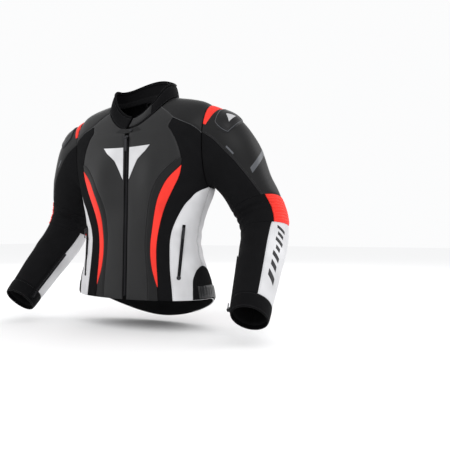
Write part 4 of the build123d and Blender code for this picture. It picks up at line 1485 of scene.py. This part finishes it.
@dataclass(frozen=True)
class Sleeve:
    """One sleeve, from the armhole to the cuff.

    Attributes:
        side: which sleeve.
        back_seam: degrees of the long seam down the back of the sleeve.
        band_from: degrees at which the red elbow folds begin, behind.
        band_to: degrees at which they end, in front.
    """

    side: Side
    back_seam: float = -64.0
    band_from: float = -165.0
    band_to: float = 42.0

    def sewn(self, name: str, panel: Panel, slot: str, node: str, body: str | Bend) -> bpy.types.Object:
        """One panel of the sleeve, as a piece."""
        nodes = [node] if node else []
        return sew(f"{name}_{self.side.word}", panel.shells(PHASE[self.side]), nodes, self.side, body)

    def upper(self) -> None:
        """The leather and stretch halves of the upper sleeve, each in two lengths that join unseen."""
        front, back = along_seam(SLEEVE_FRONT), fixed(SLEEVE_BACK)
        under = fixed(SLEEVE_BACK + 360)
        middle = fixed(self.back_seam)
        twin = (Stitching(E, 2.4), Stitching(E, 5.4))
        for name, first, second, seams in (("upper_sleeve", middle, front, twin),
                                           ("upper_sleeve_back", back, middle, (Stitching(W), Stitching(E)))):
            top = Panel(sleeve_patch(first, second, fixed(0), fixed(UPPER_JOIN)), BLACK,
                        rolled=(True, True, True, False), stitching=seams)
            self.sewn(name, top, "black_leather", "upper_sleeve_{}", SHOULDER_BEND)
            low = Panel(sleeve_patch(first, second, fixed(UPPER_JOIN), upper_end), BLACK,
                        rolled=(True, True, False, True), stitching=seams + (Stitching(N, 2.4),))
            self.sewn(name + "_low", low, "black_leather", "upper_sleeve_{}", ELBOW_BEND)
        inner = Panel(sleeve_patch(front, under, fixed(0), fixed(UPPER_JOIN)), STRETCHY, STRETCH,
                      rolled=(True, True, True, False), puff=0.5)
        self.sewn("sleeve_stretch", inner, "stretch_cloth", "sleeve_stretch_{}", SHOULDER_BEND)
        inner_low = Panel(sleeve_patch(front, under, fixed(UPPER_JOIN), upper_end), STRETCHY, STRETCH,
                          rolled=(True, True, False, True), puff=0.5)
        self.sewn("sleeve_stretch_low", inner_low, "stretch_cloth", "sleeve_stretch_{}", ELBOW_BEND)

    def shoulder(self) -> None:
        """The red band at the armhole, the hard cup and the reflective stripe."""
        band = Panel(sleeve_patch(fixed(-63), fixed(64), fixed(0.004), band_edge, 1.6), RED, puff=0.9,
                     size=3.0, ribs=Ribs(0, 5.0, 0.5))
        self.sewn("shoulder_band", band, "red_leather", "shoulder_band_{}", SHOULDER_BEND)
        stripe = Panel(sleeve_patch(fixed(-60), fixed(50), stripe_edge(-0.014), stripe_edge(0.014), 1.3),
                       SILVER, 1.0, puff=0.2, roll=0.4, size=3.0)
        self.sewn("reflector", stripe, "reflective", "reflector_{}", "sleeve_{}")
        under = Panel(sleeve_patch(fixed(-63), fixed(58), stripe_edge(-0.027), stripe_edge(0.027), 0.9),
                      BLACK, 1.2, puff=0.3, roll=0.9, stitching=(Stitching(S, 1.8), Stitching(N, 1.8)))
        self.sewn("reflector_band", under, "black_leather", "", "sleeve_{}")
        flash = Panel(sleeve_patch(along_seam(SLEEVE_FRONT, -9), along_seam(SLEEVE_FRONT, -6), fixed(0.205),
                                   fixed(0.265), 1.2), SILVER, 0.8, puff=0.1, roll=0.3, size=3.0)
        self.sewn("seam_flash", flash, "reflective", "", "sleeve_{}")
        name = f"shoulder_cup_{self.side.word}"
        sew(name, self.cup(), ["shoulder_cup_{}"], self.side, "sleeve_{}")

    def cup(self) -> list[Shell]:
        """The hard cup: a rounded square that swells outward, a raised rim round it and a silver edge.

        Returns:
            its closed shells.
        """
        def layer(u: Array, w: Array, fixed_lift: float | None = None, above: float = 0.0) -> Array:
            """Points of the cup's outside, or at a fixed height, at shares across and down.

            Args:
                u: shares across.
                w: shares down.
                fixed_lift: height of all points, or none.
                above: height added.

            Returns:
                points, in millimetres.
            """
            across, down = u * np.sqrt(1 - 0.34 * w * w), w * np.sqrt(1 - 0.34 * u * u)
            edge = np.maximum(np.abs(u), np.abs(w)) + 0 * u * w
            lift = (2.2 + 4.0 * ((1 - u * u) * (1 - w * w)) ** 0.7 + 1.3 * bump(edge, 0.8, 0.07)
                    - 1.6 * smooth((edge - 0.93) / 0.07) + above)
            lift = lift if fixed_lift is None else fixed_lift
            return SLEEVE.point(28 + 34 * across, 0.126 + 0.058 * down, lift)

        u, w = np.linspace(-1, 1, 61)[:, None], np.linspace(-1, 1, 61)[None, :]
        outer, inner = layer(u, w), layer(u, w, 0.3)
        side, down = np.linspace(-1, 1, 9)[:, None], np.linspace(-0.3, 0.34, 9)[None, :]
        wedge = side * 0.5 * (down + 0.36)
        badge = closed_shell(layer(wedge, down, above=0.5), layer(wedge, down, above=-0.5), PALE_MARK)
        index = np.arange(61 * 61).reshape(61, 61)
        loop = np.concatenate([index[4, 4:-5], index[4:-5, -5], index[-5, -5:4:-1], index[-5:4:-1, 4]])
        line = outer.reshape(-1, 3)[loop]
        return [closed_shell(outer, inner, CUP), cord_shell(line, 0.7, SILVER), badge]

    def elbow(self) -> None:
        """The red folds over the point of the elbow and the plain stretch cloth inside it."""
        folds = Panel(sleeve_patch(fixed(self.band_from), fixed(self.band_to), upper_end, forearm_start), RED,
                      puff=0.4, ribs=Ribs(1, 7.4, 2.8))
        self.sewn("elbow_accordion", folds, "red_leather", "elbow_accordion_{}", ELBOW_BEND)
        gap = (fixed(self.band_to), fixed(self.band_from + 360))
        inner = Panel(sleeve_patch(*gap, upper_end, forearm_start), STRETCHY, STRETCH, puff=0.5)
        self.sewn("elbow_stretch", inner, "stretch_cloth", "forearm_stretch_{}", ELBOW_BEND)

    def forearm(self) -> None:
        """The white outer forearm in two panels, its stretch inside and the cuff."""
        front, back = along_seam(FOREARM_FRONT), fixed(FOREARM_BACK)
        under = fixed(FOREARM_BACK + 360)
        end = fixed(CUFF_START)
        seams = tuple(Stitching(edge, finish=WHITE_THREAD) for edge in (W, E, S))
        middle = fixed(self.back_seam)
        # The grey cord in the middle seam is painted seam shade.
        outer = Panel(sleeve_patch(middle, front, forearm_start, end), WHITE, stitching=seams,
                      piping=(Piping(W, SEAM_SHADE_CORD),))
        self.sewn("forearm_panel", outer, "white_leather", "forearm_panel_{}", ELBOW_BEND)
        behind = Panel(sleeve_patch(back, middle, forearm_start, end), WHITE, stitching=seams)
        self.sewn("forearm_panel_back", behind, "white_leather", "forearm_panel_{}", ELBOW_BEND)
        inner = Panel(sleeve_patch(front, under, forearm_start, end), STRETCHY, STRETCH, puff=0.5)
        self.sewn("forearm_stretch", inner, "stretch_cloth", "forearm_stretch_{}", ELBOW_BEND)
        cuff = Panel(sleeve_patch(fixed(FOREARM_BACK), fixed(169.4), end, fixed(1.0), 0.8), COLLAR_CLOTH, 2.4,
                     puff=1.0, stitching=(Stitching(S, 3.0), Stitching(N, 3.0)))
        self.sewn("cuff", cuff, "collar_cloth", "cuff_{}", "forearm_{}")

    def marks(self) -> None:
        """A row of plain slanted bars down the white, and a small label above the cuff."""
        bars = ((0.735, 24), (0.763, 18), (0.791, 24), (0.819, 14), (0.847, 24), (0.875, 20), (0.903, 24))
        cuts = [sleeve_patch(fixed(22 - wide / 2), fixed(22 + wide / 2), slanted(place),
                             slanted(place + 0.015), 1.3) for place, wide in bars]
        cuts.append(sleeve_patch(fixed(-58), fixed(-44), fixed(0.915), fixed(0.93), 1.3))
        panels = [Panel(cut, DARK_MARK, 0.8, puff=0.1, roll=0.3, size=2.5) for cut in cuts]
        shells = [shell for panel in panels for shell in panel.shells(PHASE[self.side])]
        sew(f"forearm_marks_{self.side.word}", shells, [], self.side, "forearm_{}")

    def lining(self) -> None:
        """The lining tube in two lengths, just under the outer cloth."""
        for name, low, high, bend in (("upper", fixed(0.0), fixed(UPPER_JOIN), SHOULDER_BEND),
                                      ("lower", fixed(UPPER_JOIN), fixed(0.985), ELBOW_BEND)):
            tube = Panel(sleeve_patch(fixed(-109.6), fixed(249.6), low, high, -SLEEVE_LINING_DEPTH),
                         LINING_CLOTH, 0.7, rolled=(False,) * 4, puff=0, roll=0, size=8.0)
            self.sewn(f"sleeve_lining_{name}", tube, "lining_cloth", "", bend)

    def build(self) -> None:
        """Makes the whole sleeve."""
        self.upper()
        self.shoulder()
        self.elbow()
        self.forearm()
        self.marks()
        self.lining()


@dataclass(frozen=True)
class Lining:
    """The lining of the body, the trouser zip inside the back hem and the hanging loop."""

    depth: float = LINING_DEPTH

    def build(self) -> None:
        """Makes the pieces inside the body."""
        arm_low, arm_high = BODY.armhole_levels()

        def part(first: Edge, second: Edge, low: float, high: float) -> list[Shell]:
            """One stretch of lining between two edges."""
            return Panel(strip(first, second, low, high, -self.depth), LINING_CLOTH, 0.8,
                         rolled=(False,) * 4, puff=0, roll=0, size=9.0).shells()

        shells = part(fixed(7), fixed(353), 0.04, arm_low)
        shells += part(fixed(7), lambda v: BODY.armhole(v) - 0.5, arm_low, arm_high)
        shells += part(lambda v: 360.5 - BODY.armhole(v), fixed(353), arm_low, arm_high)
        shells += part(lambda v: BODY.armhole(v, True) + 0.5, lambda v: 359.5 - BODY.armhole(v, True),
                       arm_low, arm_high)
        shells += part(fixed(7), fixed(353), arm_high, 7.95)
        sew("torso_lining", shells, ["torso_lining"])
        tape = Panel(strip(fixed(150), fixed(210), 0.35, 0.62, -5.0), TAPE, 1.6, puff=0.2, roll=0.3)
        sew("trouser_zip", tape.shells(), ["trouser_zip"])
        sew("hanger_loop", [self.loop()], ["hanger_loop"])

    @staticmethod
    def loop() -> Shell:
        """The hanging loop: a flat band carried round a long slot with round ends.

        Returns:
            the closed band.
        """
        turn = np.linspace(0, 2 * math.pi, 96, endpoint=False)
        middle = np.stack([24 * np.tanh(3 * np.cos(turn)) / math.tanh(3) + 6 * np.cos(turn), 0 * turn + 50,
                           -14 + 6.2 * np.sin(turn)], -1)
        outward = unit(np.stack([np.cos(turn), 0 * turn, np.sin(turn)], -1))
        corner = np.array([[-1.4, -1.5], [-1.4, 1.5], [1.4, 1.5], [1.4, -1.5]])
        ring = middle[:, None] + outward[:, None] * corner[None, :, 0:1]
        ring = ring + np.array([0, 1, 0]) * corner[None, :, 1:2]
        index = np.arange(96 * 4).reshape(96, 4)
        there = np.roll(index, -1, 0)
        faces = np.stack([index, np.roll(index, -1, 1), np.roll(there, -1, 1), there], -1).reshape(-1, 4)
        return Shell(ring.reshape(-1, 3), [faces], LINING_CLOTH)


@dataclass(frozen=True)
class ZipLine:
    """A straight zip.

    Attributes:
        origin: its closed end.
        across: direction from one row of teeth to the other.
        along: direction towards the closed end.
        outward: direction away from the cloth.
        length: of the whole zip.
    """

    origin: Array
    across: Array
    along: Array
    outward: Array
    length: float

    @classmethod
    def between(cls, closed: Array, opened: Array, outward: Array, lift: float = 0.0) -> "ZipLine":
        """A zip from its closed end to its open one, facing about outward and raised by lift.

        Args:
            closed: its closed end.
            opened: its open end.
            outward: direction away from the cloth.
            lift: how far it stands off.

        Returns:
            the zip.
        """
        closed, opened = np.asarray(closed, float), np.asarray(opened, float)
        length = float(np.linalg.norm(closed - opened))
        along = (closed - opened) / length
        normal = outward - along * (np.asarray(outward, float) @ along)
        normal = normal / np.linalg.norm(normal)
        return cls(closed + normal * lift, np.cross(along, normal), along, normal, length)

    def place(self, points: Array) -> Array:
        """Points given as across, along and outward, put in the frame."""
        return self.origin + points @ np.stack([self.across, self.along, self.outward])

    def box(self, low: Sequence[float], high: Sequence[float], finish: Finish) -> Shell:
        """A plain block between two corners given as across, along and outward.

        Args:
            low: its least corner along the zip's directions.
            high: its greatest corner.
            finish: its look.

        Returns:
            the closed box.
        """
        low, high = np.array(low, float), np.array(high, float)
        grid = np.stack(np.meshgrid([0, 1], [0, 1], [0, 1], indexing="ij"), -1).reshape(-1, 3)
        faces = np.array([[0, 1, 3, 2], [4, 6, 7, 5], [0, 4, 5, 1], [2, 3, 7, 6], [0, 2, 6, 4], [1, 5, 7, 3]])
        return Shell(self.place(low + grid * (high - low)), [faces], finish)

    def teeth(self, first: float, last: float, half: float, base: float, height: float) -> Shell:
        """Metal teeth in two interlocking rows, each a block that narrows towards its nose.

        Args:
            first: where the first tooth sits.
            last: where the last one sits.
            half: half the width of a tooth.
            base: height of its foot.
            height: height of a tooth.

        Returns:
            all the teeth.
        """
        pitch = 3.0
        at = np.arange(first, last, pitch)
        side = np.where(np.arange(len(at)) % 2, 1.0, -1.0)
        block = np.array([[-1, -1, 0], [-1, 1, 0], [-1, 1, 1], [-1, -1, 1],
                          [0.45, -0.62, 0], [0.45, 0.62, 0], [0.45, 0.62, 0.86], [0.45, -0.62, 0.86]])
        points = np.stack([
            side[:, None] * -block[None, :, 0] * half,
            at[:, None] + block[None, :, 1] * pitch * 0.4,
            base + 0 * at[:, None] + block[None, :, 2] * height,
        ], -1)
        faces = np.array([[0, 3, 2, 1], [4, 5, 6, 7], [0, 1, 5, 4], [3, 7, 6, 2], [0, 4, 7, 3], [1, 2, 6, 5]])
        every = faces[None] + 8 * np.arange(len(at))[:, None, None]
        every = np.where((side > 0)[:, None, None], every[:, :, ::-1], every)
        return Shell(self.place(points.reshape(-1, 3)), [every.reshape(-1, 4)], METAL)


@dataclass(frozen=True)
class Zips:
    """The main zip, the two pocket zips and the two cuff zips: tapes and teeth.

    Attributes:
        top: height of the main zip's closed end.
        bottom: height of its open end.
    """

    top: float = -112.0
    bottom: float = -494.0

    def main(self) -> None:
        """The main zip's tape and teeth, between the folded leather edges."""
        ends = [np.array([0, BODY.centre_y + BODY.lean * z, z]) for z in (self.top, self.bottom)]
        line = ZipLine.between(ends[0], ends[1], np.array([0, -1, 0]))
        tape = [line.box((-15, -line.length, -3.1), (15, 0, -2.3), TAPE)]
        sew("zip_tape", tape, ["zip_tape"])
        sew("zip_chain", [line.teeth(-line.length + 2, -2, 2.6, -2.2, 1.9)], ["zip_chain"])

    def pocket(self, side: Side) -> None:
        """One pocket zip: a raised tape with teeth and a round stop, in a stitched leather frame.

        Args:
            side: which half.
        """
        top, bottom = BODY.point(58, 2.6), BODY.point(47, 1.1)
        around = BODY.point(53, 1.85) - BODY.point(52, 1.85)
        upward = BODY.point(52.5, 1.87) - BODY.point(52.5, 1.83)
        line = ZipLine.between(top, bottom, unit(np.cross(around, upward)), 0.9)
        shells = [line.box((-3.6, -line.length - 2, -2.0), (3.6, 2, 1.2), TAPE),
                  line.teeth(-line.length + 2, -2, 2.0, 1.1, 0.8),
                  dome(bottom, line.outward, 5.0, 1.5, 3.0)]
        sew(f"pocket_zip_{side.word}", shells, ["pocket_zips"], side)
        around_zip = [along_seam([(1.1, 47), (2.6, 58)], shift) for shift in (-4.2, 4.2)]
        border = Panel(strip(*around_zip, 1.0, 2.7, 0.9), WHITE, 1.0, puff=0.1, roll=0.5, size=3.0,
                       stitching=tuple(Stitching(edge, 1.8, WHITE_THREAD) for edge in Rim))
        sew(f"pocket_frame_{side.word}", border.shells(PHASE[side]), [], side)

    def cuff(self, side: Side) -> None:
        """One cuff zip, on the inner side of the forearm.

        Args:
            side: which half.
        """
        top, bottom = SLEEVE.point(166, 0.83), SLEEVE.point(166, 0.985)
        centre = SLEEVE.row(0.9)[:3]
        line = ZipLine.between(bottom, top, (top + bottom) / 2 - centre, 2.0)
        shells = [line.box((-6, -line.length, 0), (6, 0, 1.0), TAPE),
                  line.teeth(-line.length + 1, -1, 2.0, 0.9, 0.8)]
        sew(f"cuff_zip_{side.word}", shells, ["cuff_zip_{}"], side, "forearm_{}")

    def build(self) -> None:
        """Makes every zip and dresses the sliders and pulls."""
        self.main()
        for side in Side:
            self.pocket(side)
            self.cuff(side)
        for name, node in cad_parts.items():
            if "slider" in name or "pull" in name:
                node.data.materials.clear()
                node.data.materials.append(METAL.material())


@dataclass(frozen=True)
class WaistTab:
    """The strap at the side of the waist."""

    side: Side

    def build(self) -> None:
        """Makes the strap, gathered into upright wrinkles."""
        flat = patch([(0.12, 66), (0.45, 66), (0.8, 66)], [(0.12, 111), (0.45, 111), (0.8, 111)],
                     [(0.12, 66), (0.12, 88), (0.12, 111)], [(0.8, 66), (0.8, 88), (0.8, 111)], 4.2)
        panel = Panel(flat, GLOSSY, 1.6, puff=0.4, ribs=Ribs(0, 9.0, 1.0),
                      stitching=tuple(Stitching(edge, 2.2) for edge in Rim))
        name = f"waist_tab_{self.side.word}"
        sew(name, panel.shells(), ["waist_tab_{}"], self.side, "waist_tab_{}")


@dataclass(frozen=True)
class Studio:
    """The floor, the lights and the camera.

    Attributes:
        turn: the camera's heading, in degrees from the X axis.
        place: where the camera stands, in metres.
        lens: its focal length in millimetres.
        shift: its lens shift across and up.
    """

    turn: float = 120.5
    place: tuple[float, float, float] = (0.790, -1.196, -0.348)
    lens: float = 45.8
    shift: tuple[float, float] = (0.11, 0.02)

    def camera(self) -> None:
        """The camera, level, from the wearer's left front."""
        camera = bpy.data.cameras.new("camera")
        camera.lens = self.lens
        camera.sensor_width = 36.0
        camera.shift_x, camera.shift_y = self.shift
        camera.clip_end = 50.0
        stand = bpy.data.objects.new("camera", camera)
        heading = math.radians(self.turn)
        stand.location = self.place
        stand.rotation_mode = "QUATERNION"
        stand.rotation_quaternion = Vector((math.cos(heading), math.sin(heading), 0)).to_track_quat("-Z", "Y")
        bpy.context.collection.objects.link(stand)
        bpy.context.scene.camera = stand

    def light(self, name: str, place: tuple[float, float, float], power: float, size: float) -> None:
        """One large soft lamp, turned to the jacket.

        Args:
            name: the lamp's name.
            place: where it hangs, in metres.
            power: in watts.
            size: width of the lamp, in metres.
        """
        lamp = bpy.data.lights.new(name, "AREA")
        lamp.energy, lamp.size, lamp.shape = power, size, "SQUARE"
        stand = bpy.data.objects.new(name, lamp)
        stand.location = place
        stand.rotation_mode = "QUATERNION"
        stand.rotation_quaternion = (Vector((0, 0, -0.28)) - Vector(place)).to_track_quat("-Z", "Y")
        bpy.context.collection.objects.link(stand)

    def floor(self) -> None:
        """A wide pale floor below the cuffs and the hem."""
        finish = Finish("pale_floor", (0.94, 0.94, 0.943), 0.9, specular=0.0)
        low = CAD_BOX[0][2] * 1000 - 14
        half = 9000.0
        points = np.array([[-half, -half, low], [half, -half, low], [half, half, low], [-half, half, low]])
        mesh_piece("floor", [Shell(points, [np.array([[0, 1, 2, 3]])], finish)])

    def build(self) -> None:
        """Sets up the studio."""
        self.camera()
        self.floor()
        self.light("key", (1.5, -1.6, 1.3), 17, 1.6)
        self.light("fill", (-1.9, -1.5, 0.5), 8, 1.8)
        self.light("rim_left", (1.9, 1.5, 0.9), 12, 1.4)
        self.light("rim_right", (-1.5, 1.9, 1.0), 10, 1.4)
        world = bpy.data.worlds.new("studio")
        world.use_nodes = True
        background = world.node_tree.nodes["Background"]
        background.inputs[0].default_value = (0.97, 0.972, 0.975, 1)
        background.inputs[1].default_value = 1.0
        bpy.context.scene.world = world
        bpy.context.scene.view_settings.view_transform = "Standard"


def main() -> None:
    """Builds the jacket piece by piece, then the studio."""
    logging.basicConfig(level=logging.INFO, format="%(name)s %(message)s", stream=sys.stdout)
    Studio().build()
    for side in Side:
        TorsoHalf(side).build()
        Sleeve(side).build()
        WaistTab(side).build()
    CentreBack().build()
    Collar().build()
    Lining().build()
    Zips().build()


if __name__ == "__main__":
    main()
